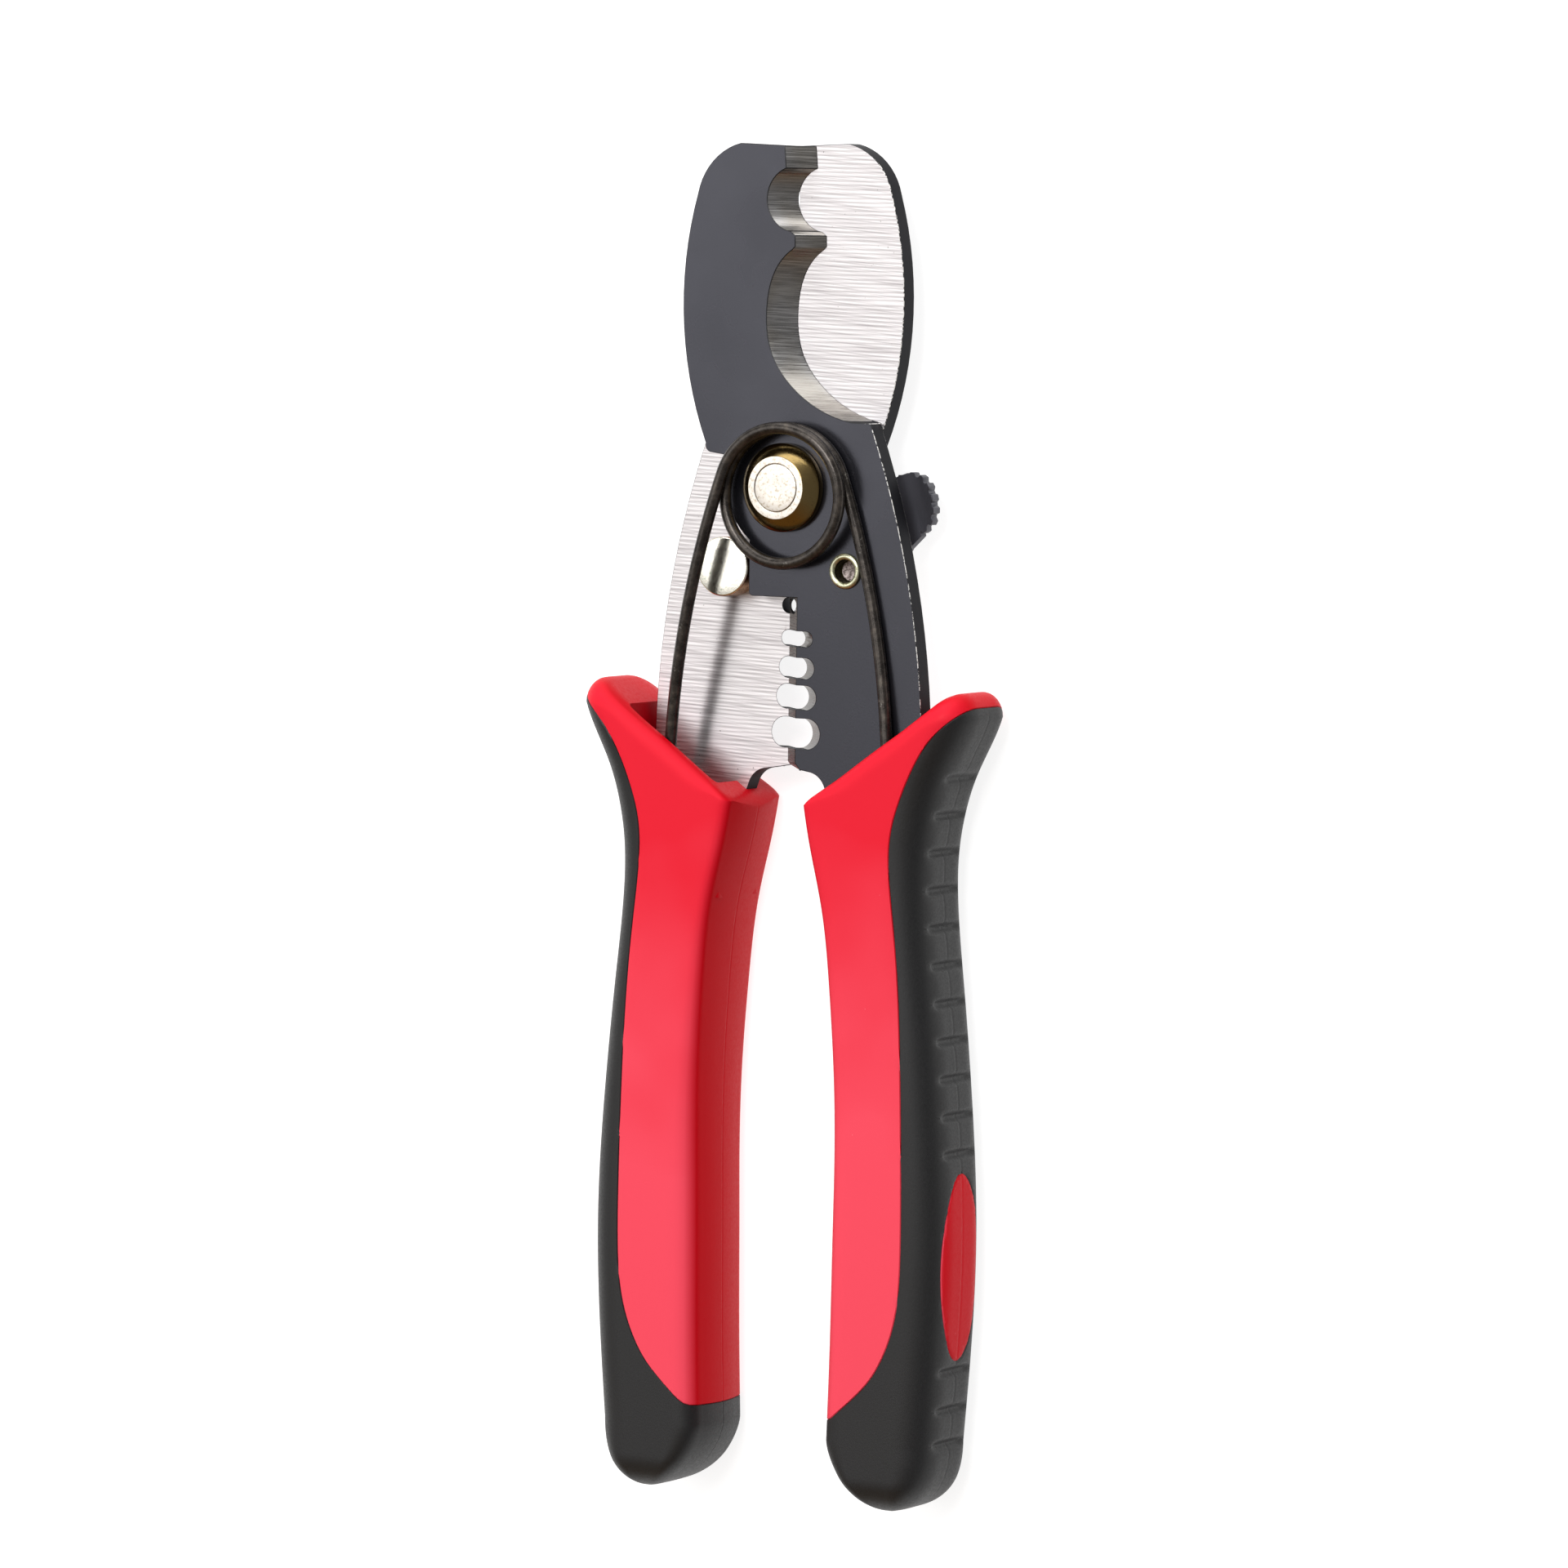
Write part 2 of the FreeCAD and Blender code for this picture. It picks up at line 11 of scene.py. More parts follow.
import bmesh
import bpy
import numpy as np
from mathutils import Matrix, Vector


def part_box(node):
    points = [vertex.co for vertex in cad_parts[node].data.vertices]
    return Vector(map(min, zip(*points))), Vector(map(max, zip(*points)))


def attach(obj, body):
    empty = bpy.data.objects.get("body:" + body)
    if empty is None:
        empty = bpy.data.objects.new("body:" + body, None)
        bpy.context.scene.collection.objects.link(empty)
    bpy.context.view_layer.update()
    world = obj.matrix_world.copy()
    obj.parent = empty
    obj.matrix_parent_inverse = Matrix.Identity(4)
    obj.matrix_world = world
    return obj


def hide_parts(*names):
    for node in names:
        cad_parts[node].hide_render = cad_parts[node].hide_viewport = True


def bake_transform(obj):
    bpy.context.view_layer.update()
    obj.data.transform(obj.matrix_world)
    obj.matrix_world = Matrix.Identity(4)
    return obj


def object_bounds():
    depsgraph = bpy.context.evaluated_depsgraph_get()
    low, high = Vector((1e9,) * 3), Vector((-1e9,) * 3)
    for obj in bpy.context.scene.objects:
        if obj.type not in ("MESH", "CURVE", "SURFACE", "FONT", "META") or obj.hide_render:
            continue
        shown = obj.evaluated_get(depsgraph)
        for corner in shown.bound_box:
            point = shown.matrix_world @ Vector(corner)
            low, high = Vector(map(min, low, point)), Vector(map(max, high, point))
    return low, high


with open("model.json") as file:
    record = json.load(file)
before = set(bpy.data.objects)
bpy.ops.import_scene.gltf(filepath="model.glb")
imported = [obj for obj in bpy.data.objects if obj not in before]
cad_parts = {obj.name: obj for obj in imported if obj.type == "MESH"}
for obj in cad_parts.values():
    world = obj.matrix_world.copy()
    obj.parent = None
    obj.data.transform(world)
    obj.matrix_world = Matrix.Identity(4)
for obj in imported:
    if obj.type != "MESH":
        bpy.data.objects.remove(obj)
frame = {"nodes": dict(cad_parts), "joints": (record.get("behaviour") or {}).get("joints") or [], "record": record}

MM = 0.001
cad_box = [[float(value) for value in corner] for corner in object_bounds()]
print("CAD box:", cad_box)

# %% [markdown]
# ## Where things are
# A maker measures this tool from its pivot: x across, y up the tool, z up from the plane where
# the two blades meet. One function turns such millimetres into the frame's metres, so every
# piece below can be read like a workshop drawing.

# %% A point of the tool, measured from the pivot
joints = {joint["name"]: joint for joint in frame["joints"]}
PIVOT = joints["pivot_hinge"]["pos_m"]
CONTACT = (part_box("front_blade")[0].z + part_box("rear_blade")[1].z) / 2
ORIGIN = np.array([PIVOT[0], PIVOT[1], CONTACT])


def at(x, y, z=0.0):
    """Millimetres from the pivot, as a point of the frame in metres."""
    return Vector(ORIGIN + np.array([x, y, z]) * MM)


print("pivot at", ORIGIN)

# %% [markdown]
# ## Materials: the helpers
# A few short helpers keep the node trees readable. One turns a paint chip's sRGB hex value into
# the linear numbers that a renderer adds up. One starts a material from its common values, and
# one adds a node together with its settings and links. The rest are the patterns, each scaled
# by a real size in millimetres, and the ways to mix them.


# %% Colour, node and material helpers
def colour(chip):
    """An sRGB hex value such as #B00018 as linear RGBA."""
    parts = [int(chip[place:place + 2], 16) / 255 for place in (1, 3, 5)]
    return [c / 12.92 if c <= 0.04045 else ((c + 0.055) / 1.055) ** 2.4 for c in parts] + [1.0]


def add(tree, kind, settings=None, links=None):
    """Add one node. Settings name its sockets or its properties, and links feed its sockets."""
    made = tree.nodes.new(kind)
    for name, value in (settings or {}).items():
        if isinstance(name, int) or name in made.inputs:
            made.inputs[name].default_value = value
        else:
            setattr(made, name, value)
    for name, source in (links or {}).items():
        tree.links.new(source, made.inputs[name])
    return made


def start(name, chip, metallic, roughness, **sockets):
    """A material with one Principled shader, and the coordinates that its patterns use."""
    material = bpy.data.materials.new(name)
    material.use_nodes = True
    tree = material.node_tree
    shader = tree.nodes["Principled BSDF"]
    shader.inputs["Base Color"].default_value = colour(chip)
    shader.inputs["Metallic"].default_value = metallic
    shader.inputs["Roughness"].default_value = roughness
    for socket, value in sockets.items():
        shader.inputs[socket.replace("_", " ")].default_value = value
    place = add(tree, "ShaderNodeTexCoord").outputs["Object"]
    return material, tree, shader, place


def noise(tree, place, size_mm, detail=2.0, roughness=0.5):
    """Cloudy noise whose largest blobs are about size_mm across."""
    settings = {"Scale": 1 / (size_mm * MM), "Detail": detail, "Roughness": roughness}
    return add(tree, "ShaderNodeTexNoise", settings, {"Vector": place}).outputs["Fac"]


def streaks(tree, place, long_mm, fine_mm, turn_degrees=0.0, detail=4.0):
    """Noise pulled out into lines along x: long_mm long and fine_mm wide."""
    scale = (1 / (long_mm * MM), 1 / (fine_mm * MM), 1 / (long_mm * MM))
    turned = add(tree, "ShaderNodeMapping", {"Rotation": (0, 0, math.radians(turn_degrees))},
                 {"Vector": place}).outputs["Vector"]
    pulled = add(tree, "ShaderNodeMapping", {"Scale": scale}, {"Vector": turned})
    settings = {"Scale": 1.0, "Detail": detail, "Roughness": 0.6}
    return add(tree, "ShaderNodeTexNoise", settings,
               {"Vector": pulled.outputs["Vector"]}).outputs["Fac"]


def grind_lines(tree, place, apart_mm, turn_degrees):
    """Near-parallel lines across x, apart_mm from one to the next, that waver a little."""
    turned = add(tree, "ShaderNodeMapping", {"Rotation": (0, 0, math.radians(turn_degrees)),
                                             "Scale": (0.08, 1, 1)}, {"Vector": place})
    settings = {"bands_direction": "Y", "Scale": 0.314 / (apart_mm * MM), "Distortion": 3.5,
                "Detail": 3.0, "Detail Scale": 0.6, "Detail Roughness": 0.7}
    return add(tree, "ShaderNodeTexWave", settings,
               {"Vector": turned.outputs["Vector"]}).outputs["Fac"]


def ramp(tree, value, stops):
    """A colour ramp. Stops are (position, hex value)."""
    made = add(tree, "ShaderNodeValToRGB", links={"Fac": value})
    elements = made.color_ramp.elements
    while len(elements) < len(stops):
        elements.new(0.5)
    for element, (position, chip) in zip(elements, stops):
        element.position = position
        element.color = colour(chip)
    return made.outputs["Color"]


def spread(tree, value, low, high, from_low=0.3, from_high=0.7):
    """Stretch a noise value to a range of roughness or height."""
    settings = {"From Min": from_low, "From Max": from_high, "To Min": low, "To Max": high}
    return add(tree, "ShaderNodeMapRange", settings, {"Value": value}).outputs["Result"]


def part_of(tree, vector, axis):
    """One part, X, Y or Z, of a position or a direction."""
    return add(tree, "ShaderNodeSeparateXYZ", links={"Vector": vector}).outputs[axis]


def mix(tree, share, first, second, blend="MIX"):
    """Mix two colours. Each is a socket or a hex value, and share is a socket or a number."""
    made = add(tree, "ShaderNodeMixRGB", {"blend_type": blend})
    for socket, value in (("Fac", share), ("Color1", first), ("Color2", second)):
        if isinstance(value, str):
            made.inputs[socket].default_value = colour(value)
        elif isinstance(value, (int, float)):
            made.inputs[socket].default_value = value
        else:
            tree.links.new(value, made.inputs[socket])
    return made.outputs["Color"]


def bump(tree, shader, height, depth_mm):
    """Raise the surface by a height of 0 to 1 times depth_mm."""
    made = add(tree, "ShaderNodeBump", {"Distance": depth_mm * MM, "Strength": 1.0},
               {"Height": height})
    tree.links.new(made.outputs["Normal"], shader.inputs["Normal"])


print("helpers ready")

# %% [markdown]
# ## Ground steel
# The blades are forged from tool steel and their meeting faces are ground flat on a belt. The
# belt runs nearly across the tool, so it leaves fine lines of many lengths that lean a little
# down to the right. Noise pulled out along x gives those lines; a second, coarser layer gives
# the broad bands that the eye sees first. Lines that fine also spread a reflection across
# themselves, up and down the tool, and keep it sharp along x, so the steel is anisotropic. Its
# tangent has to point across the lines, and it turns with the blade. The finest lines are a
# hundredth of a millimetre wide, too fine to show, so they are drawn at 0.22 mm.


# %% Ground steel
GRIND_TURN = 5.0


def ground_steel():
    material, tree, shader, place = start("ground_tool_steel", "#DADDDE", 1.0, 0.34,
                                          Anisotropic=0.92)
    across = add(tree, "ShaderNodeVectorTransform",
                 {"vector_type": "VECTOR", "convert_from": "OBJECT", "convert_to": "WORLD",
                  "Vector": (math.sin(math.radians(GRIND_TURN)),
                             math.cos(math.radians(GRIND_TURN)), 0.0)})
    tree.links.new(across.outputs["Vector"], shader.inputs["Tangent"])
    fine = streaks(tree, place, 12, 0.22, GRIND_TURN, 4.0)
    broad = grind_lines(tree, place, 0.62, GRIND_TURN)
    pits = noise(tree, place, 0.9, 3.0, 0.7)
    lines = ramp(tree, fine, [(0.32, "#B6B2B3"), (0.5, "#DAD7D8"), (0.66, "#F0EEEF")])
    bands = ramp(tree, broad, [(0.0, "#D6D3D4"), (0.45, "#F4F3F3"), (0.9, "#FFFFFF")])
    tone = mix(tree, 0.85, lines, bands, "MULTIPLY")
    dots = ramp(tree, pits, [(0.24, "#3A3634"), (0.31, "#FFFFFF")])
    tree.links.new(mix(tree, 0.8, tone, dots, "MULTIPLY"), shader.inputs["Base Color"])
    tree.links.new(spread(tree, fine, 0.3, 0.4), shader.inputs["Roughness"])
    bump(tree, shader, fine, 0.004)
    return material


def bevel_ground_steel():
    """The slanted cutting edges, ground across with a finer wheel and never blacked."""
    material, tree, shader, place = start("wheel_ground_edge", "#A8A39A", 1.0, 0.3)
    fine = streaks(tree, place, 6, 0.13, 2.0)
    heat = noise(tree, place, 7, 1.0)
    lines = ramp(tree, fine, [(0.3, "#7E7C7A"), (0.5, "#9B9997"), (0.7, "#B8B7B6")])
    warm = ramp(tree, heat, [(0.42, "#FFFFFF"), (0.6, "#EEE9DF")])
    tree.links.new(mix(tree, 0.7, lines, warm, "MULTIPLY"), shader.inputs["Base Color"])
    tree.links.new(spread(tree, fine, 0.2, 0.4), shader.inputs["Roughness"])
    bump(tree, shader, fine, 0.008)
    return material


GROUND = ground_steel()
EDGE = bevel_ground_steel()
print("made", GROUND.name, EDGE.name)

# %% [markdown]
# ## Black finish
# The outer faces are blacked: a thin, hard, slightly satin black over a fine blasted skin. It is
# not a paint film, so it has no orange peel, only soft clouds where the bath took differently
# and a few specks. On corners that rub in a drawer it wears back to bright steel, in dots and
# dashes rather than in a line, and a worn-edge material on the bevels shows that.


# %% Black finish and worn corners
def black_finish(name, low_chip, high_chip, roughness, shine):
    material, tree, shader, place = start(name, low_chip, 0.0, roughness, IOR=1.5,
                                          Specular_IOR_Level=shine)
    shader.inputs["Specular Tint"].default_value = colour("#F0F0FF")
    clouds = noise(tree, place, 18, 3.0)
    skin = noise(tree, place, 0.35, 2.0)
    specks = noise(tree, place, 1.1, 2.0, 0.8)
    tone = mix(tree, clouds, low_chip, high_chip)
    dots = ramp(tree, specks, [(0.22, "#0B0B0C"), (0.27, "#FFFFFF")])
    tree.links.new(mix(tree, 1.0, tone, dots, "MULTIPLY"), shader.inputs["Base Color"])
    tree.links.new(spread(tree, clouds, roughness - 0.05, roughness + 0.08),
                   shader.inputs["Roughness"])
    bump(tree, shader, skin, 0.006)
    return material


def worn_corner():
    """Small rubs in long patches, and more of them on the outer edge, past x 11 mm."""
    material, tree, shader, place = start("worn_black_corner", "#1C1C1F", 0.5, 0.35)
    rubs = noise(tree, place, 0.55, 3.0, 0.75)
    reach = noise(tree, place, 14, 2.0)
    side = spread(tree, part_of(tree, place, "X"), 0.0, 0.34, 11 * MM, 14 * MM)
    worn = add(tree, "ShaderNodeMath", {"operation": "ADD"}, {0: rubs, 1: side}).outputs[0]
    wide = add(tree, "ShaderNodeMath", {"operation": "MULTIPLY_ADD", 1: 0.35, 2: -0.17},
               {0: reach}).outputs[0]
    total = add(tree, "ShaderNodeMath", {"operation": "ADD"}, {0: worn, 1: wide}).outputs[0]
    share = spread(tree, total, 0.0, 1.0, 0.8, 0.86)
    tree.links.new(mix(tree, share, "#1C1C1F", "#D8D6D2"), shader.inputs["Base Color"])
    return material


BLACK = black_finish("black_finished_steel", "#0B0B0E", "#131317", 0.25, 0.6)
SIDE_BLACK = black_finish("black_forged_side", "#0B0B0D", "#121215", 0.5, 0.12)
# The lever's black is painted much paler than the blades' black. This is a painted highlight for the light on the
# lever's face.
LEVER_BLACK = black_finish("black_lever_sheet", "#2A2A2E", "#38383D", 0.42, 0.6)
WORN = worn_corner()
print("made", BLACK.name, SIDE_BLACK.name, LEVER_BLACK.name, WORN.name)

# %% [markdown]
# ## Bright hardware and spring wire
# The nut and the pin are turned and barrel polished, so they are nearly mirrors with a faint
# speckle. The rivet is zinc plated with a yellow-green passivation, and its mouth is rolled
# over, which leaves short radial scratches. The spring is oil-tempered wire: dark brown-black
# oxide, with silver showing along the wire where the coiling tools rubbed it.


# %% Polished, plated and tempered metals
def polished_steel(name, chip, roughness, speck_chip, speck_from=0.34):
    material, tree, shader, place = start(name, chip, 1.0, roughness)
    specks = noise(tree, place, 0.5, 4.0, 0.75)
    marks = ramp(tree, specks, [(speck_from, speck_chip), (speck_from + 0.13, chip)])
    tree.links.new(marks, shader.inputs["Base Color"])
    tree.links.new(spread(tree, specks, roughness + 0.12, roughness), shader.inputs["Roughness"])
    bump(tree, shader, specks, 0.01)
    return material


def spring_wire_finish():
    material, tree, shader, place = start("oil_tempered_wire", "#25211E", 0.7, 0.28)
    drawn = noise(tree, place, 1.5, 4.0, 0.7)
    rubs_and_sheen = noise(tree, place, 3.5, 4.0, 0.8)
    scale = ramp(tree, drawn, [(0.35, "#2B2724"), (0.55, "#3F3A36"), (0.75, "#585149")])
    share = spread(tree, rubs_and_sheen, 0.0, 0.6, 0.62, 0.76)
    tree.links.new(mix(tree, share, scale, "#B5B0A8"), shader.inputs["Base Color"])
    tree.links.new(spread(tree, drawn, 0.22, 0.36), shader.inputs["Roughness"])
    bump(tree, shader, drawn, 0.01)
    return material


NUT_FACE = polished_steel("tumbled_steel_face", "#DDD7CE", 0.3, "#BDB09C", 0.36)
NUT_RIM = polished_steel("gold_passivated_rim", "#8C774C", 0.12, "#6A5A3A", 0.28)
PIN = polished_steel("polished_pin_steel", "#EDE9DC", 0.12, "#A9B49A", 0.3)
PIN_RIM = polished_steel("heat_tinted_rim", "#B08A66", 0.25, "#6A4A34", 0.36)
ZINC = polished_steel("yellow_green_zinc", "#C9C8AC", 0.28, "#7D7E62", 0.36)
PLATED = polished_steel("plain_zinc_plate", "#B9B9B4", 0.3, "#8E8E88", 0.32)
WIRE = spring_wire_finish()
print("made", len(bpy.data.materials), "materials so far")

# %% [markdown]
# ## The two plastics of a handle
# The hard core is injection-moulded polypropylene, red right through. Its mould is spark
# eroded, which gives a fine even grain and a broad soft sheen instead of a clear reflection.
# The grip is a thermoplastic rubber moulded over it: nearly black, matter, and a little
# dustier. The true grain is about 0.1 mm, too fine to show, so it is drawn at 0.4 mm.
# From the middle of the handle down, the flats are painted paler. This is a painted sheen, where the lamps glance
# off the lower flats.
# Near the mouth the flats keep the plain colour. The side walls are painted deepest, as painted shade. So the
# colour follows the height along the handle, and the way that a face points in the handle's own frame.


# %% Red polypropylene and black rubber
# Below this height on the handle, the flats are painted paler as a painted sheen.
SHEEN_FROM = 55 * MM


def grained_plastic(name, chips, roughness, shine, tint, grain_mm, grain_depth_mm):
    """A moulded plastic. Chips: flat with painted sheen, plain flat, side with painted shade, dust."""
    sheen_flat_chip, plain_flat_chip, shaded_side_chip, dust_chip = chips
    material, tree, shader, place = start(name, sheen_flat_chip, 0.0, roughness, IOR=1.49,
                                          Specular_IOR_Level=shine)
    shader.inputs["Specular Tint"].default_value = colour(tint)
    grain = noise(tree, place, grain_mm, 2.0, 0.6)
    wide = noise(tree, place, 22, 2.0)
    dust = noise(tree, place, 1.4, 2.0, 0.85)
    # Painted light: flats that face along z are painted paler than the side walls, which are painted darker as
    # painted shade. Lower down the handle, the flats are painted paler still, as a painted sheen.
    way = add(tree, "ShaderNodeTexCoord").outputs["Normal"]
    lift = add(tree, "ShaderNodeMath", {"operation": "ABSOLUTE"},
               {0: part_of(tree, way, "Z")}).outputs["Value"]
    below = add(tree, "ShaderNodeMath", {"operation": "MULTIPLY_ADD", 1: -1.0, 2: -SHEEN_FROM},
                {0: part_of(tree, place, "Y")}).outputs["Value"]
    rubs_and_sheen = add(tree, "ShaderNodeMath", {"operation": "MULTIPLY_ADD", 1: 50 * MM},
                 {0: wide, 2: below}).outputs["Value"]
    share = spread(tree, rubs_and_sheen, 0.0, 1.0, -30 * MM, 20 * MM)
    flats = mix(tree, share, plain_flat_chip, sheen_flat_chip)
    tone = mix(tree, spread(tree, lift, 0.0, 1.0, 0.35, 0.85), shaded_side_chip, flats)
    flecks = spread(tree, dust, 0.0, 0.5, 0.78, 0.84)
    tree.links.new(mix(tree, flecks, tone, dust_chip), shader.inputs["Base Color"])
    tree.links.new(spread(tree, grain, roughness - 0.06, roughness + 0.08),
                   shader.inputs["Roughness"])
    bump(tree, shader, grain, grain_depth_mm)
    return material


# In each plastic, the first chip is the painted sheen on the lower flats and the third chip is the painted shade
# on the side walls.
RED = grained_plastic("red_moulded_polypropylene", ("#EA4A5C", "#DC2032", "#C20416", "#F2A0A8"),
                      roughness=0.42, shine=0.1, tint="#FFC8CC", grain_mm=0.45,
                      grain_depth_mm=0.012)
RUBBER = grained_plastic("black_thermoplastic_rubber",
                         ("#19191A", "#131314", "#0D0D0E", "#8A8C8E"),
                         roughness=0.48, shine=0.42, tint="#FFFFFF", grain_mm=0.35,
                         grain_depth_mm=0.014)
print("made", RED.name, RUBBER.name)

# %% [markdown]
# ## Blades
# Each blade is a flat forging, so its CAD shape is already right. What CAD leaves out is what
# the hand and the grinder leave: a fine round on every corner. A copy of the CAD mesh is
# cleaned into large faces, each face gets the finish of its own making step, and a bevel rounds
# the corners by a tenth of a millimetre. Which finish a face has follows from the way it looks:
# the inner face is ground, the slanted cutting edges are wheel ground, the rest is blacked.


# %% Helpers that clean, bevel and shade a mesh
CORNER_ANGLE = math.radians(35)


def freeze(piece, sharp_degrees=None):
    """Apply every modifier. Without an angle, the large flat faces keep their flat shading."""
    piece.data.shade_smooth()
    if sharp_degrees is None:
        piece.modifiers.new("flat_faces_first", "WEIGHTED_NORMAL").weight = 90
    graph = bpy.context.evaluated_depsgraph_get()
    mesh = bpy.data.meshes.new_from_object(piece.evaluated_get(graph))
    piece.modifiers.clear()
    piece.data = mesh
    if sharp_degrees is not None:
        mesh.set_sharp_from_angle(angle=math.radians(sharp_degrees))


def bevel(piece, width_mm, material):
    """Round every corner. material is the slot that the rounds get, or -1 for the faces' own."""
    made = piece.modifiers.new("round_corners", "BEVEL")
    made.width = width_mm * MM
    made.segments = 2
    made.limit_method = "ANGLE"
    made.angle_limit = CORNER_ANGLE
    made.use_clamp_overlap = False
    made.material = material


def mesh_piece(name, mesh, body, materials):
    """A visible piece that rides on a body."""
    piece = bpy.data.objects.new(name, mesh)
    bpy.context.scene.collection.objects.link(piece)
    for material in materials:
        mesh.materials.append(material)
    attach(piece, body)
    return piece


def body_holding(node):
    """The CAD body that a node belongs to."""
    bodies = frame["record"]["behaviour"]["bodies"]
    return next(body for body, members in bodies.items() if node in members)


def cleaned_copy(node):
    """A CAD node's mesh with its flat faces whole again."""
    shape = bmesh.new()
    shape.from_mesh(frame["nodes"][node].data)
    bmesh.ops.remove_doubles(shape, verts=shape.verts, dist=0.002 * MM)
    bmesh.ops.dissolve_limit(shape, angle_limit=math.radians(0.8), verts=shape.verts,
                             edges=shape.edges)
    return shape


def from_cad(node, name, materials, width_mm, face_finish=None, corner=-1):
    """A bevelled copy of a CAD node. face_finish(normal, centre) picks each face's material."""
    shape = cleaned_copy(node)
    for face in shape.faces:
        face.material_index = 0
        if face_finish:
            centre = (np.array(face.calc_center_median()) - ORIGIN) / MM
            face.material_index = face_finish(face.normal, centre)
    mesh = bpy.data.meshes.new(name)
    shape.to_mesh(mesh)
    shape.free()
    piece = mesh_piece(name, mesh, body_holding(node), materials)
    bevel(piece, width_mm, corner)
    freeze(piece)
    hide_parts(node)
    print(f"{name}: {len(piece.data.polygons)} faces")


# %% The two blades
BLADE_FINISHES = [BLACK, GROUND, EDGE, WORN, SIDE_BLACK]
OUTER_FACE, MEETING_FACE, CUTTING_EDGE, CORNER, SIDE_WALL = range(5)
FLAT = 0.95
JAW_FROM, JAW_SIDE = 9.0, -4.6
NOTCHES_FROM, NOTCHES_TO, NOTCHES_SIDE = -41.5, -16.3, 8.0


def blade_finish(turned):
    """How a blade's faces are finished. turned is -1 for the rear blade, which is turned over."""
    def pick(normal, centre):
        out = normal.z * turned
        x = centre[0] * turned
        y = centre[1]
        if out < -FLAT:
            return MEETING_FACE
        if out > FLAT:
            return OUTER_FACE
        on_jaw_edge = y > JAW_FROM and x > JAW_SIDE and normal.y < 0.93
        on_notch = NOTCHES_FROM < y < NOTCHES_TO and x < NOTCHES_SIDE and out > 0.1
        return CUTTING_EDGE if on_jaw_edge or on_notch else SIDE_WALL
    return pick


for node, name, turned in (("front_blade", "front_forging", 1), ("rear_blade", "rear_forging", -1)):
    from_cad(node, name, BLADE_FINISHES, 0.09, blade_finish(turned), corner=CORNER)

# %% [markdown]
# ## Turned pieces
# The nut, the pin and the rivet come off a lathe, so they are made as a lathe makes them: a
# half profile spun round its axis. Round corners are arcs in the profile, so the light rolls
# over them, which a bevel on a coarse cylinder would not give.


# %% A lathe
def arc_points(centre, radius, start_degrees, end_degrees, steps=6):
    """Points of an arc in the (radius, height) plane."""
    angles = np.radians(np.linspace(start_degrees, end_degrees, steps + 1))
    return [(centre[0] + radius * math.cos(a), centre[1] + radius * math.sin(a)) for a in angles]


def lathe(name, profile, centre, body, materials, finish=None, steps=128):
    """Spin (radius, height) points round a line through centre, along z."""
    shape = bmesh.new()
    rings = []
    for radius, height in profile:
        if radius < 1e-6:
            rings.append([shape.verts.new(at(centre[0], centre[1], height))])
            continue
        turn = [2 * math.pi * step / steps for step in range(steps)]
        rings.append([shape.verts.new(at(centre[0] + radius * math.cos(a),
                                         centre[1] + radius * math.sin(a), height))
                      for a in turn])
    for number, (low, high) in enumerate(zip(rings, rings[1:])):
        for step in range(steps):
            after = (step + 1) % steps
            corners = [low[step % len(low)], low[after % len(low)],
                       high[after % len(high)], high[step % len(high)]]
            face = shape.faces.new(list(dict.fromkeys(corners)))
            face.material_index = finish(number) if finish else 0
    bmesh.ops.recalc_face_normals(shape, faces=shape.faces)
    mesh = bpy.data.meshes.new(name)
    shape.to_mesh(mesh)
    shape.free()
    piece = mesh_piece(name, mesh, body, materials)
    mesh.shade_smooth()
    mesh.set_sharp_from_angle(angle=math.radians(30))
    print(f"{name}: {len(mesh.polygons)} faces")
    return piece


def stand_for(node):
    """Hide the CAD node, so that the piece shows instead of it."""
    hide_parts(node)


# %% Pivot bolt, nut and their fine details
def heights(node):
    """A CAD node's lowest and highest z, in millimetres from the plane where the blades meet."""
    return [(corner.z - CONTACT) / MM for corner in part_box(node)]


NUT_LOW, TOP = heights("pivot_nut")
HEAD_LOW = heights("pivot_bolt")[0]
WASHER_LOW = heights("pivot_washer")[0]
nut_profile = [(3.56, NUT_LOW), (6.35, NUT_LOW)]
nut_profile += arc_points((6.33, NUT_LOW + 0.2), 0.2, -90, 0, 4)
nut_profile += arc_points((6.23, NUT_LOW + 1.0), 0.3, 0, 55, 5)
nut_profile += [(5.35, TOP - 0.42)]
nut_profile += arc_points((4.55, TOP - 0.22), 0.22, 40, 90, 5)
nut_profile += [(3.66, TOP), (3.56, TOP - 0.08), (3.56, NUT_LOW)]
nut_flat = len(nut_profile) - 5
nut = lathe("pivot_lock_nut", nut_profile, (0, 0), "rear_half", [NUT_FACE, NUT_RIM],
            lambda number: 0 if number >= nut_flat else 1)
stand_for("pivot_nut")

bolt_profile = [(0.0, HEAD_LOW), (4.9, HEAD_LOW)]
bolt_profile += arc_points((5.3, HEAD_LOW + 1.0), 1.0, -90, 0, 8)
bolt_profile += [(6.3, WASHER_LOW), (3.5, WASHER_LOW), (3.5, TOP - 0.12)]
bolt_profile += arc_points((3.38, TOP - 0.12), 0.12, 0, 90, 4)
bolt_profile += [(1.6, TOP - 0.03), (0.0, TOP - 0.04)]
bolt = lathe("pivot_bolt_turned", bolt_profile, (0, 0), "rear_half", [NUT_FACE])
stand_for("pivot_bolt")

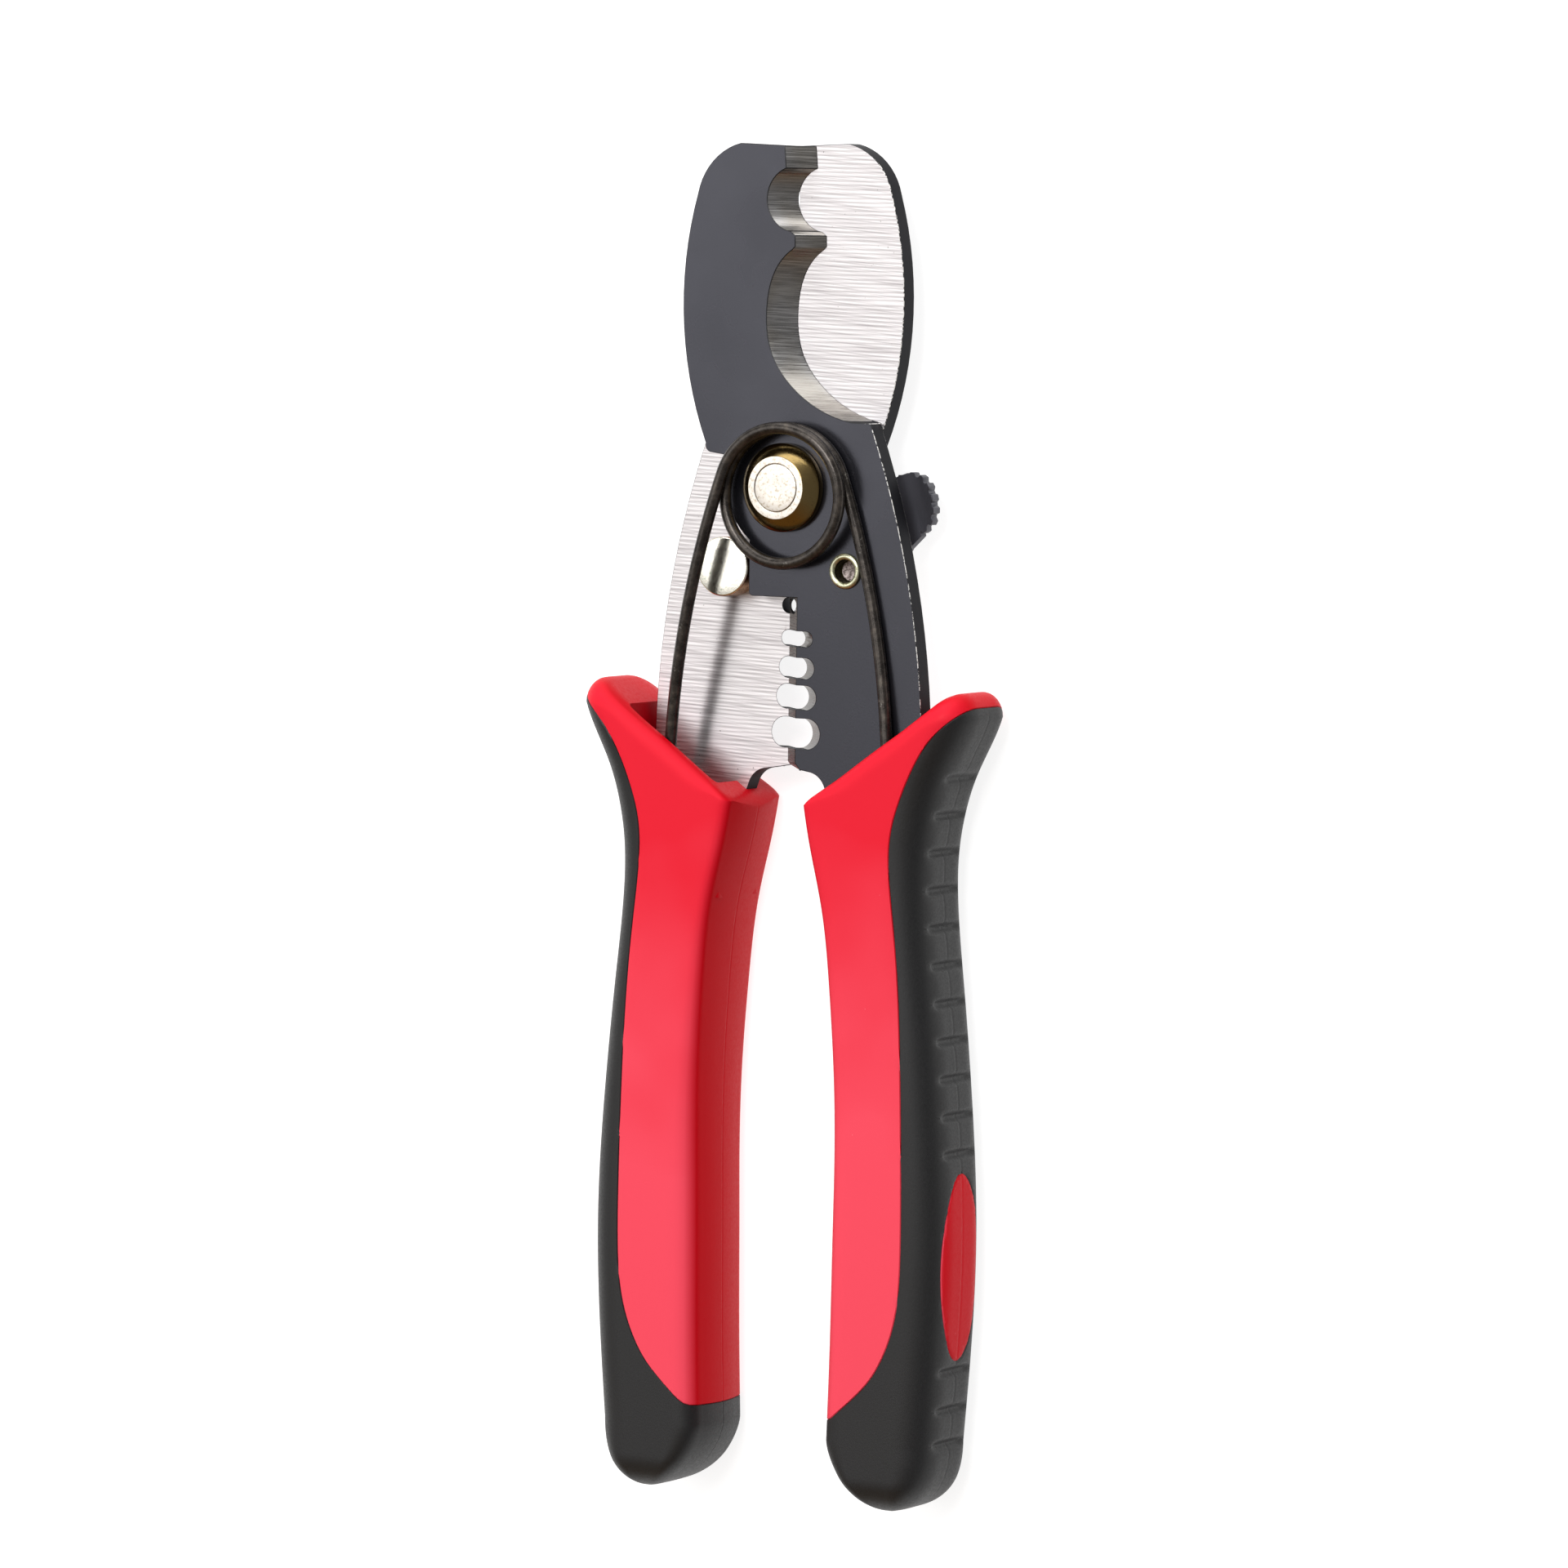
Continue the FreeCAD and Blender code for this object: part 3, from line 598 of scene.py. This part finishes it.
# %% Stop pin
SIDE_HOLE = joints["lever_hinge"]["pos_m"]
RIVET_AT = ((SIDE_HOLE[0] - PIVOT[0]) / MM, (SIDE_HOLE[1] - PIVOT[1]) / MM)
PIN_AT = (-RIVET_AT[0], RIVET_AT[1])
PIN_LOW, PIN_TOP = heights("stop_pin")
pin_profile = [(0.0, PIN_LOW), (1.9, PIN_LOW), (2.4, PIN_LOW + 0.5), (2.4, -3.0), (2.1, -3.0),
               (2.1, -0.02), (4.4, -0.02), (4.4, PIN_TOP - 0.3)]
pin_rim = len(pin_profile) + 2
pin_profile += arc_points((4.1, PIN_TOP - 0.3), 0.3, 0, 90, 6)
pin_profile += [(2.5, PIN_TOP), (0.0, PIN_TOP - 0.03)]
pin = lathe("stop_pin_turned", pin_profile, PIN_AT, "rear_half", [PIN_RIM, PIN],
            lambda number: 1 if number >= pin_rim else 0)
stand_for("stop_pin")

# %% Lever rivet with its rolled mouth
RIVET_LOW = heights("lever_rivet")[0]
RIVET_HEAD = heights("lever_washer")[0]
BORE_FLOOR = 1.4
rivet_profile = [(0.0, RIVET_LOW), (1.6, RIVET_LOW + 0.06), (3.0, RIVET_LOW + 0.35),
                 (3.8, RIVET_LOW + 0.75), (4.2, RIVET_HEAD), (2.1, RIVET_HEAD), (2.1, 3.0),
                 (2.62, 3.02)]
rivet_profile += arc_points((2.15, 3.1), 0.49, 0, 160, 10)
rivet_bore = len(rivet_profile) - 1
rivet_profile += [(1.62, 2.7), (1.6, BORE_FLOOR + 0.3), (1.45, BORE_FLOOR + 0.1),
                  (1.1, BORE_FLOOR), (0.0, BORE_FLOOR - 0.2)]
BORE = polished_steel("dark_rivet_bore", "#4A4630", 0.45, "#26241A", 0.4)
FLOOR_FINISH = polished_steel("rough_rivet_floor", "#A89C98", 0.5, "#5E5450", 0.42)
rivet = lathe("lever_rivet_turned", rivet_profile, RIVET_AT, "front_half",
              [ZINC, BORE, FLOOR_FINISH],
              lambda number: 0 if number < rivet_bore else 1 if number < rivet_bore + 3 else 2)
stand_for("lever_rivet")

# %% Washers and the lock lever keep their CAD shapes
for node, name in (("pivot_washer", "pivot_washer_plated"), ("lever_spacer", "lever_spacer_plated"),
                   ("lever_washer", "lever_washer_plated")):
    from_cad(node, name, [PLATED], 0.08)
from_cad("lock_lever", "lock_lever_blacked", [LEVER_BLACK, WORN], 0.12, corner=0)

# %% [markdown]
# ## The torsion spring
# One wire comes up out of the right handle, goes most of one and a half times round the nut and
# down into the left handle. Its middle line is a loop's worth of helix between two slightly
# bowed legs. A round tube is run along that line, because a curve with a bevel would have to be
# turned into a mesh anyway. The tube is attached to neither handle, so it does not bend with the
# pivot.


# %% The spring's middle line
COIL_MIDDLE = (0.75, -1.15)
COIL_R = 9.95
LEG_LEAVES = math.radians(19)
RIGHT_FOOT, LEFT_FOOT = np.array([18.8, -42, 4.5]), np.array([-18.6, -42, 4.1])
WIRE_R = 0.9
coil_low = heights("return_spring")[0] + WIRE_R
SWEEP = 3 * math.pi - 2 * LEG_LEAVES
CLIMB = 1.89 / (2 * math.pi)


def coil_at(turned):
    angle = LEG_LEAVES + turned
    return np.array([COIL_MIDDLE[0] + COIL_R * math.cos(angle),
                     COIL_MIDDLE[1] + COIL_R * math.sin(angle), coil_low + CLIMB * turned])


def leg_line(top, way, foot, steps=48):
    """An arc from top to foot that leaves top along way, with the wire's fine waviness left out."""
    way = way / np.linalg.norm(way)
    chord = foot - top
    across = chord - way * (chord @ way)
    across = across / np.linalg.norm(across)
    along, aside = chord @ way, chord @ across
    radius = (along ** 2 + aside ** 2) / (2 * aside)
    whole = 2 * math.atan2(aside, along)
    turns = np.linspace(0, whole, steps + 1)
    return [top + way * radius * math.sin(a) + across * radius * (1 - math.cos(a)) for a in turns]


slope = CLIMB / COIL_R
down = (math.sin(LEG_LEAVES), -math.cos(LEG_LEAVES))
right_leg = leg_line(coil_at(0), np.array([down[0], down[1], -slope]), RIGHT_FOOT)
left_leg = leg_line(coil_at(SWEEP), np.array([-down[0], down[1], slope]), LEFT_FOOT)
coil = [coil_at(turned) for turned in np.linspace(0, SWEEP, 181)]
spring_line = np.array(right_leg[:0:-1] + coil + left_leg[1:])
print("spring line:", len(spring_line), "points")


# %% A tube along the line
def tube(name, line, radius_mm, sides=20):
    """A round tube along a line of points, closed by two slightly domed ends."""
    ways = np.gradient(line, axis=0)
    ways /= np.linalg.norm(ways, axis=1)[:, None]
    up = np.array([0.0, 0.0, 1.0])
    firsts = np.cross(ways, up)
    firsts /= np.linalg.norm(firsts, axis=1)[:, None]
    seconds = np.cross(ways, firsts)
    shape = bmesh.new()
    rings = []
    stations = [(0, 0.55, -0.28)] + [(place, 1.0, 0.0) for place in range(len(line))]
    stations += [(len(line) - 1, 0.55, 0.28)]
    for place, share, ahead in stations:
        ring = []
        for side in range(sides):
            angle = 2 * math.pi * side / sides
            offset = firsts[place] * math.cos(angle) + seconds[place] * math.sin(angle)
            point = line[place] + offset * radius_mm * share + ways[place] * ahead
            ring.append(shape.verts.new(at(*point)))
        rings.append(ring)
    for low, high in zip(rings, rings[1:]):
        for side in range(sides):
            after = (side + 1) % sides
            shape.faces.new((low[side], low[after], high[after], high[side]))
    shape.faces.new(rings[0])
    shape.faces.new(rings[-1])
    bmesh.ops.recalc_face_normals(shape, faces=shape.faces)
    mesh = bpy.data.meshes.new(name)
    shape.to_mesh(mesh)
    shape.free()
    mesh.shade_smooth()
    return mesh


spring_mesh = tube("torsion_spring", spring_line, WIRE_R)
spring = bpy.data.objects.new("torsion_spring", spring_mesh)
bpy.context.scene.collection.objects.link(spring)
spring_mesh.materials.append(WIRE)
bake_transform(spring)
stand_for("return_spring")
print("spring:", len(spring_mesh.polygons), "faces")

# %% [markdown]
# ## The handles
# A handle is one long loft. Its section is a rounded box: tight 1.75 mm corners on the inside of
# the curve, generous 5.5 mm corners where the fingers press, flat faces front and back. The
# outline comes from smooth curves through a dozen stations, as a pattern maker would draw it.
# Both handles share one shape, because the left one is the right one turned over. All numbers
# are the right handle's, in millimetres from the pivot. A station is a height y, with the x of
# the inner and the outer side there. The lip is the top edge's height at each x.


# %% A smooth curve through stations
def smooth(stations):
    """A natural cubic spline through (at, value) pairs, as a function of numbers or arrays."""
    places, values = np.array(sorted(stations), float).T
    gaps = np.diff(places)
    slopes = np.diff(values) / gaps
    count = len(places)
    matrix, right = np.eye(count), np.zeros(count)
    for k in range(1, count - 1):
        matrix[k, k - 1:k + 2] = gaps[k - 1], 2 * (gaps[k - 1] + gaps[k]), gaps[k]
        right[k] = 6 * (slopes[k] - slopes[k - 1])
    bends = np.linalg.solve(matrix, right)

    def value(where):
        where = np.clip(where, places[0], places[-1])
        k = np.clip(np.searchsorted(places, where) - 1, 0, count - 2)
        gap, ahead, behind = gaps[k], places[k + 1] - where, where - places[k]
        return ((bends[k] * ahead ** 3 + bends[k + 1] * behind ** 3) / (6 * gap)
                + (values[k] / gap - bends[k] * gap / 6) * ahead
                + (values[k + 1] / gap - bends[k + 1] * gap / 6) * behind)
    return value


STATIONS = [(-25, 3.0, 33.4), (-32, 3.6, 33.1), (-36.5, 4.3, 31.35), (-41.4, 4.9, 29.0),
            (-46.2, 5.6, 27.4), (-52, 6.7, 26.3), (-60.7, 8.75, 26.2), (-72.8, 10.2, 27.4),
            (-88, 11.0, 28.9), (-109, 10.9, 30.05), (-127, 10.65, 29.4), (-139.5, 10.3, 28.4)]
inner_side = smooth([(y, inner) for y, inner, outer in STATIONS])
outer_side = smooth([(y, outer) for y, inner, outer in STATIONS])
lip = smooth([(5.5, -46.5), (7.6, -45.0), (12, -41.9), (18, -37.6), (24.3, -33.1),
              (27.3, -30.6), (29.8, -29.0), (31.6, -28.5), (33.3, -28.5)])
SEAM = [(46, -19.4), (33, -30.9), (29.6, -33.9), (26.2, -37.9), (22.6, -45.6), (21.25, -54),
        (22.6, -67), (23.7, -84), (24.2, -105), (23.6, -119.5), (20.7, -127.7), (17.3, -132),
        (13.2, -135.6), (9, -136.6), (-6, -138)]
HALF_DEPTH = 8.2
TOP_INNER, TOP_OUTER, BODY_FROM, LEVEL_FROM, TIP_FROM = 5.6, 33.15, -33.3, -70, -139.5
TIP_LONG = 9.95
INNER_CORNER, INNER_FLAT = 1.75, 6.45
OUTER_CORNER, OUTER_FLAT = 5.5, 2.7
CROWN = 0.55
CORNER_SQUEEZE = 0.76
print("outline ready, width at mid handle", float(outer_side(-90.0) - inner_side(-90.0)))

# %% [markdown]
# Eleven finger grooves cross the outside of the grip at an even pitch, and three more follow
# after the oval inlay. Each is 0.8 mm deep and fades out before the flat faces. A fine parting
# line runs round the middle of the handle, where the mould halves meet. Grooves are shape and
# not bump, so the outline shows them too, and the rows of the loft crowd together at each one.

# %% Grooves and parting line
GROOVES = [-41.57 - 5.496 * number for number in range(11)] + [-128.5, -134.2, -139.3]


def fade(value, start, end):
    """1 before start, 0 after end, and a soft step between."""
    share = np.clip((value - start) / (end - start), 0, 1)
    return 1 - share * share * (3 - 2 * share)


def groove_depth(y, z):
    deep = sum(0.8 * np.exp(-((y - middle) / 0.7) ** 2) for middle in GROOVES)
    return deep * fade(np.abs(z), 3.4, 5.0)


def body_rows():
    """The heights of the rows down the outside: close together at a groove, else apart."""
    rows = [BODY_FROM]
    while rows[-1] > TIP_FROM:
        near = min(abs(rows[-1] - 0.4 - middle) for middle in GROOVES) < 1.4
        rows.append(max(rows[-1] - (0.22 if near else 0.9), TIP_FROM))
    return rows


# %% The columns of the section, and where each one meets the mouth
def columns():
    """(a, b, f, z) per column: x runs from inner + a to outer - b as f goes from 0 to 1."""
    half = [(CROWN * (z / INNER_FLAT) ** 2, 0, 0, z)
            for z in (0, 0.06, 0.14, 0.35, 1, 2, 3, 4, 5, 6, INNER_FLAT)]
    for angle in np.radians(np.arange(15, 91, 15)):
        half.append((CROWN + INNER_CORNER * (1 - math.cos(angle)), 0, 0,
                     INNER_FLAT + INNER_CORNER * math.sin(angle)))
    half += [(CROWN + INNER_CORNER, OUTER_CORNER, f, HALF_DEPTH)
             for f in np.linspace(0, 1, 19)[1:]]
    for angle in np.radians(np.linspace(0, 90, 13)[1:]):
        half.append((0, OUTER_CORNER * (1 - math.sin(angle)), 1,
                     OUTER_FLAT + OUTER_CORNER * math.cos(angle)))
    half += [(0, 0, 1, z) for z in (2.0, 1.2, 0.6, 0.25, 0.12, 0)]
    return np.array(half + [(a, b, f, -z) for a, b, f, z in half[-2:0:-1]])


COLUMNS = columns()
A, B, F, Z = COLUMNS.T
print(len(COLUMNS), "columns,", len(body_rows()), "rows")


MOUTH_INNER, MOUTH_OUTER, MOUTH_CORNER, MOUTH_FLAT = 9.4, 24.8, 0.8, 5.2


def mouth_edge():
    """Each column's point on the rim of the mouth, which is a box with rounded corners."""
    x, z = np.zeros(len(Z)), np.zeros(len(Z))
    from_x, to_x = MOUTH_INNER + MOUTH_CORNER, MOUTH_OUTER - MOUTH_CORNER
    for k, (a, b, f, height) in enumerate(COLUMNS):
        sign, tall = (1 if height >= 0 else -1), abs(height)
        if f == 0 and tall <= INNER_FLAT:
            x[k], z[k] = MOUTH_INNER, height * MOUTH_FLAT / INNER_FLAT
        elif f == 0 and tall < HALF_DEPTH - 1e-6:
            turn = math.asin((tall - INNER_FLAT) / INNER_CORNER)
            x[k] = from_x - MOUTH_CORNER * math.cos(turn)
            z[k] = sign * (MOUTH_FLAT + MOUTH_CORNER * math.sin(turn))
        elif tall > HALF_DEPTH - 1e-6:
            x[k], z[k] = from_x + (to_x - from_x) * f, sign * (MOUTH_FLAT + MOUTH_CORNER)
        elif tall > OUTER_FLAT:
            turn = math.acos((tall - OUTER_FLAT) / OUTER_CORNER)
            x[k] = to_x + MOUTH_CORNER * math.sin(turn)
            z[k] = sign * (MOUTH_FLAT + MOUTH_CORNER * math.cos(turn))
        else:
            x[k], z[k] = MOUTH_OUTER, height * MOUTH_FLAT / OUTER_FLAT
    return x, z


# %% All rows of one handle, from the bottom of the mouth to the tip
def top_height(x, z):
    """The top of the handle: the lip's line, rolled down all round its edge.

    inside is the distance to the edge. wide and high are the roll's size there: small along the
    flats, larger at the inner corner and largest at the tip of the flare.
    """
    tall = np.abs(z)
    inside = np.minimum(np.minimum(HALF_DEPTH - tall, TOP_OUTER - x), x - TOP_INNER)
    out_x, out_z = x - (TOP_OUTER - OUTER_CORNER), tall - OUTER_FLAT
    in_x, in_z = TOP_INNER + CROWN + INNER_CORNER - x, tall - INNER_FLAT
    inside = np.where((out_x > 0) & (out_z > 0), OUTER_CORNER - np.hypot(out_x, out_z), inside)
    inside = np.where((in_x > 0) & (in_z > 0),
                      INNER_CORNER - np.hypot(in_x * CORNER_SQUEEZE, in_z), inside)
    wide = 1.3 + 0.7 * fade(-x, -12, -7) + 2.2 * fade(-x, -30, -24)
    high = 1.0 + 2.2 * fade(-x, -14, -7) + 1.0 * fade(-x, -31, -26)
    share = np.clip(1 - np.maximum(inside, 0) / wide, 0, 1)
    return lip(x) - high * (1 - np.sqrt(1 - share ** 2))


LOW_CORNER = 3.2


def section(y):
    """The columns' a and z at height y: the inner corner grows to LOW_CORNER downwards."""
    radius = LOW_CORNER - (LOW_CORNER - INNER_CORNER) * fade(-y, 58, 104)
    tall, sign = np.abs(Z), np.sign(Z)
    rise = np.clip((tall - INNER_FLAT) / INNER_CORNER, 0, 1)
    lean = 1 - np.sqrt(1 - rise ** 2)
    wall = CROWN * np.minimum(tall / INNER_FLAT, 1) ** 2 + radius * lean
    a = np.where(F > 0, (CROWN + radius) * (B > 0), wall)
    low = Z * (HALF_DEPTH - radius) / INNER_FLAT
    high = sign * (HALF_DEPTH - radius + radius * rise)
    z = np.where(F > 0, Z, np.where(tall > INNER_FLAT, high, low))
    return a, z


def outline(y):
    """The columns' x at height y."""
    a, z = section(y)
    return (inner_side(y) + a) * (1 - F) + (outer_side(y) - B) * F


def parting(z):
    """How far the mould's parting line is sunk: a hairline at z 0."""
    return 0.03 * (np.abs(z) < 0.13)


def handle_rows():
    """Rows of points: up out of the mouth, over the rolled lip, down the body, round the tip."""
    rim_x, rim_z = mouth_edge()
    top_x = (TOP_INNER + A) * (1 - F) + (TOP_OUTER - B) * F
    rows = [np.array([rim_x, -58 + (rim_x - 12) * 0.78, rim_z]).T]
    rows.append(np.array([rim_x, lip(rim_x) - 3.0, rim_z]).T)
    reach = np.hypot(rim_x - top_x, rim_z - Z)
    roll = np.where(F == 1, 4.3 - 2.0 * B / OUTER_CORNER, np.where(F > 0, 2.0, 1.4)) / reach
    for turn in [None] + list(np.radians(np.arange(90, 0, -10))):
        share = 1.0 if turn is None else np.minimum((1 - math.cos(turn)) * roll, 0.93)
        x, z = top_x + (rim_x - top_x) * share, Z + (rim_z - Z) * share
        rows.append(np.array([x, top_height(x, z), z]).T)
    top_y = top_height(top_x, Z)
    side = 2 * F - 1
    for height in body_rows():
        share = (BODY_FROM - height) / (BODY_FROM - LEVEL_FROM)
        level = height <= LEVEL_FROM
        y = np.full(len(Z), height) if level else top_y + (LEVEL_FROM - top_y) * share
        shift = (top_x - outline(top_y)) * fade((top_y - y) / 14, 0, 1)
        x = outline(y) + shift - side * parting(Z)
        x = x - groove_depth(y, Z) * (F == 1)
        rows.append(np.array([x, y, section(y)[1]]).T)
    a, z = section(np.full(len(Z), TIP_FROM))
    tip_left, tip_right = STATIONS[-1][1:]
    for turn in np.radians(np.linspace(0, 86, 24)[1:]):
        y = TIP_FROM - TIP_LONG * math.sin(turn)
        left = tip_left + 10.5 * (1 - math.cos(turn)) ** 0.78
        right = tip_right - 7.6 * (1 - math.cos(turn)) ** 1.05
        under = np.clip((-144.6 - y) / 4.9, 0, 1)
        tall = 1 - 5 / HALF_DEPTH * (1 - math.sqrt(1 - under ** 2))
        size = (right - left) / (tip_right - tip_left)
        x = (left + a * size) * (1 - F) + (right - B * size) * F - side * parting(Z) * size
        x = x - groove_depth(y, Z) * (F == 1) * size
        rows.append(np.array([x, np.full(len(Z), y), z * tall]).T)
    return rows


# %% [markdown]
# The loft is cut along the seam between the red core and the black grip. Each face that the
# seam crosses is split right on it, so the colour edge is a clean curve. Two more cuts, one on
# each side, let the seam itself sink a little: the hairline groove of an overmoulded handle.
# A bevel along the seam would be shorter to write, but it leaves spikes where the seam crosses
# a face near its corner. Each half then gets a wall of 0.9 mm.


# %% Which side of the seam a point is on
OVAL_Y, OVAL_HALF_LONG, OVAL_HALF_WIDE, OVAL_SIDE = -113.2, 13.8, 5.2, 24
MOUTH_ROWS = 3


def seam_side(points):
    """Positive on the red core, negative on the black grip: millimetres from the seam."""
    by_length = np.linspace(0, 1, len(SEAM))
    dense = np.linspace(0, 1, 260)
    curve = np.array([smooth(list(zip(by_length, [corner[axis] for corner in SEAM])))(dense)
                      for axis in (0, 1)]).T
    begins, ends = curve[:-1], curve[1:]
    run = ends - begins
    flat = points[:, :2]
    side = np.empty(len(points))
    for chunk in np.array_split(np.arange(len(points)), 40):
        reach = flat[chunk][:, None, :] - begins[None]
        share = np.clip((reach * run).sum(2) / (run * run).sum(1), 0, 1)
        away = reach - share[..., None] * run
        distance = np.sqrt((away ** 2).sum(2))
        nearest = distance.argmin(1)
        pick = np.arange(len(chunk))
        turn = run[nearest, 0] * reach[pick, nearest, 1] - run[nearest, 1] * reach[pick, nearest, 0]
        side[chunk] = np.where(turn < 0, 1, -1) * distance[pick, nearest]
    oval = 4.5 * (1 - np.hypot((points[:, 1] - OVAL_Y) / OVAL_HALF_LONG,
                               points[:, 2] / OVAL_HALF_WIDE))
    side = np.where(points[:, 0] > OVAL_SIDE, np.maximum(side, oval), side)
    side[:MOUTH_ROWS * len(COLUMNS)] = 3.0
    return side


# %% Cut faces along a level of a value that is known at every corner
ALMOST = 0.012


def cut_along(shape, value, level):
    """Split every face that the level crosses. Corners that lie almost on it are taken as on it."""
    gap = {vert: 0.0 if abs(value[vert] - level) < ALMOST else value[vert] - level
           for vert in shape.verts}
    for edge in list(shape.edges):
        first, second = edge.verts
        if gap[first] * gap[second] < 0:
            share = gap[first] / (gap[first] - gap[second])
            made = bmesh.utils.edge_split(edge, first, share)[1]
            value[made], gap[made] = level, 0.0
    for face in list(shape.faces):
        on_line = [vert for vert in face.verts if gap[vert] == 0.0]
        signs = {gap[vert] > 0 for vert in face.verts if gap[vert] != 0.0}
        if len(signs) == 2 and len(on_line) == 2:
            bmesh.utils.face_split(face, on_line[0], on_line[1])


# %% Build one handle and cut it in two
SEAM_HALF_WIDE, SEAM_SUNK, WALL = 0.13, 0.14, 0.9


def handle_meshes(name, turned):
    """The core and the grip of one handle. turned is -1 for the left handle."""
    rows = handle_rows()
    points = np.concatenate(rows)
    side = seam_side(points)
    shape = bmesh.new()
    verts = [shape.verts.new(at(x * turned, y, z * turned)) for x, y, z in points]
    wide = len(COLUMNS)
    for row in range(len(rows) - 1):
        for k in range(wide):
            after = (k + 1) % wide
            shape.faces.new((verts[row * wide + k], verts[row * wide + after],
                             verts[(row + 1) * wide + after], verts[(row + 1) * wide + k]))
    shape.faces.new(verts[:wide])
    shape.faces.new(verts[-wide:])
    bmesh.ops.recalc_face_normals(shape, faces=shape.faces)
    value = dict(zip(verts, side))
    for level in (-SEAM_HALF_WIDE, SEAM_HALF_WIDE, 0.0):
        cut_along(shape, value, level)
    shape.normal_update()
    sunk = [(vert, vert.co - vert.normal * SEAM_SUNK * MM) for vert in shape.verts
            if abs(value[vert]) < 0.005]
    for vert, place in sunk:
        vert.co = place
    made = []
    for part, keep in (("core_shell", 1), ("soft_grip", -1)):
        half = shape.copy()
        half.verts.ensure_lookup_table()
        values = [value[vert] for vert in shape.verts]
        drop_faces = [face for face in half.faces
                      if keep * sum(values[vert.index] for vert in face.verts) <= 0]
        bmesh.ops.delete(half, geom=drop_faces, context="FACES")
        mesh = bpy.data.meshes.new(f"{name}_{part}")
        half.to_mesh(mesh)
        half.free()
        made.append(mesh)
    shape.free()
    return made


for name, body, turned in (("right", "front_half", 1), ("left", "rear_half", -1)):
    meshes = handle_meshes(name, turned)
    for mesh, material, node, slot in zip(meshes, (RED, RUBBER), ("core", "grip"),
                                          ("handle_red", "grip_black")):
        piece = mesh_piece(mesh.name, mesh, body, [material])
        wall = piece.modifiers.new("wall", "SOLIDIFY")
        wall.thickness = WALL * MM
        wall.offset = -1
        freeze(piece, 38)
        stand_for(f"{name}_handle_{node}")
        print(piece.name, len(piece.data.polygons), "faces")

# %% [markdown]
# ## The studio
# The tool lies in soft light on a white table. One large softbox on the left stands where the flat
# faces mirror it, so ground steel turns bright and the black finish turns to satin. A second,
# wide one above the tool's head lights the tops of the handles and the lever. The table under
# the tool is pale and glows faintly, as a light table does, so the shadows stay soft and the
# gaps between the blades stay bright.


# %% The floor, the lights and the world
def softbox(name, towards, distance_mm, width_mm, height_mm, power):
    """An area light that the middle of the tool sees in the direction towards."""
    way = Vector(towards).normalized()
    light = bpy.data.lights.new(name, "AREA")
    light.shape = "RECTANGLE"
    light.size, light.size_y = width_mm * MM, height_mm * MM
    light.energy = power
    lamp = bpy.data.objects.new(name, light)
    bpy.context.scene.collection.objects.link(lamp)
    lamp.location = at(0, -45, 0) + way * distance_mm * MM
    lamp.rotation_euler = way.to_track_quat("Z", "Y").to_euler()


def light_table():
    """A wide glowing sheet just under the tool."""
    low = cad_box[0][2] - 0.3 * MM
    mesh = bpy.data.meshes.new("light_table")
    reach = 2.5
    mesh.from_pydata([(-reach, -reach, low), (reach, -reach, low), (reach, reach, low),
                      (-reach, reach, low)], [], [(0, 1, 2, 3)])
    card = bpy.data.objects.new("light_table", mesh)
    bpy.context.scene.collection.objects.link(card)
    material, tree, shader, place = start("white_light_table", "#A4A4A4", 0.0, 0.9,
                                          Emission_Color=colour("#FFFFFF"),
                                          Emission_Strength=0.85)
    cloud = noise(tree, place, 60.0, 2.0)
    tree.links.new(mix(tree, cloud, "#A0A0A0", "#A8A8A8"), shader.inputs["Base Color"])
    mesh.materials.append(material)


light_table()
softbox("key_softbox", (-0.483, 0.215, 0.83), 1200, 620, 920, 3.45)
softbox("front_softbox", (0.1, 0.42, 0.9), 1500, 600, 600, 12.5)
softbox("top_softbox", (0.0, 0.95, 0.3), 1100, 1200, 650, 6.5)


def studio_walls():
    """White walls to the left and ahead, a wooden bench beyond the handles, a dark room right."""
    world = bpy.data.worlds.new("studio_walls")
    bpy.context.scene.world = world
    world.use_nodes = True
    tree = world.node_tree
    way = add(tree, "ShaderNodeTexCoord").outputs["Generated"]
    parts = add(tree, "ShaderNodeSeparateXYZ", links={"Vector": way}).outputs
    ahead = spread(tree, parts["Y"], 0.0, 1.0, -0.55, -0.1)
    across = spread(tree, parts["X"], 0.0, 1.0, 0.15, 0.7)
    walls = mix(tree, ahead, "#B48E5C", "#FFFFFF")
    room = mix(tree, across, walls, "#A6A6A8")
    background = tree.nodes["Background"]
    tree.links.new(room, background.inputs["Color"])
    background.inputs["Strength"].default_value = 0.62


studio_walls()
bpy.context.scene.view_settings.view_transform = "Standard"
print("studio ready")

# %% [markdown]
# ## The camera
# A long lens looks from the tool's right side and a touch from its head, thirty degrees off the
# flat face, far enough back that the blades hardly converge.

# %% The camera
TURN, RISE, ROLL = math.radians(30.5), math.radians(4.05), math.radians(0.78)
back = Vector((math.sin(TURN) * math.cos(RISE), math.sin(RISE),
               math.cos(TURN) * math.cos(RISE)))
side = Vector((0, 1, 0)).cross(back).normalized()
up = back.cross(side)
right = side * math.cos(ROLL) + up * math.sin(ROLL)
up = back.cross(right)
lens = bpy.data.cameras.new("camera")
lens.sensor_width = 36.0
lens.lens = 177.4
lens.clip_end = 20.0
camera = bpy.data.objects.new("camera", lens)
bpy.context.scene.collection.objects.link(camera)
aim = Vector((-1.285 * MM, 5.804 * MM, 8.2 * MM))
camera.matrix_world = (Matrix.Translation(aim + back * 1.14)
                       @ Matrix((right, up, back)).transposed().to_4x4())
bpy.context.scene.camera = camera
print("camera at", list(camera.location))

# %% Update the scene
bpy.context.view_layer.update()
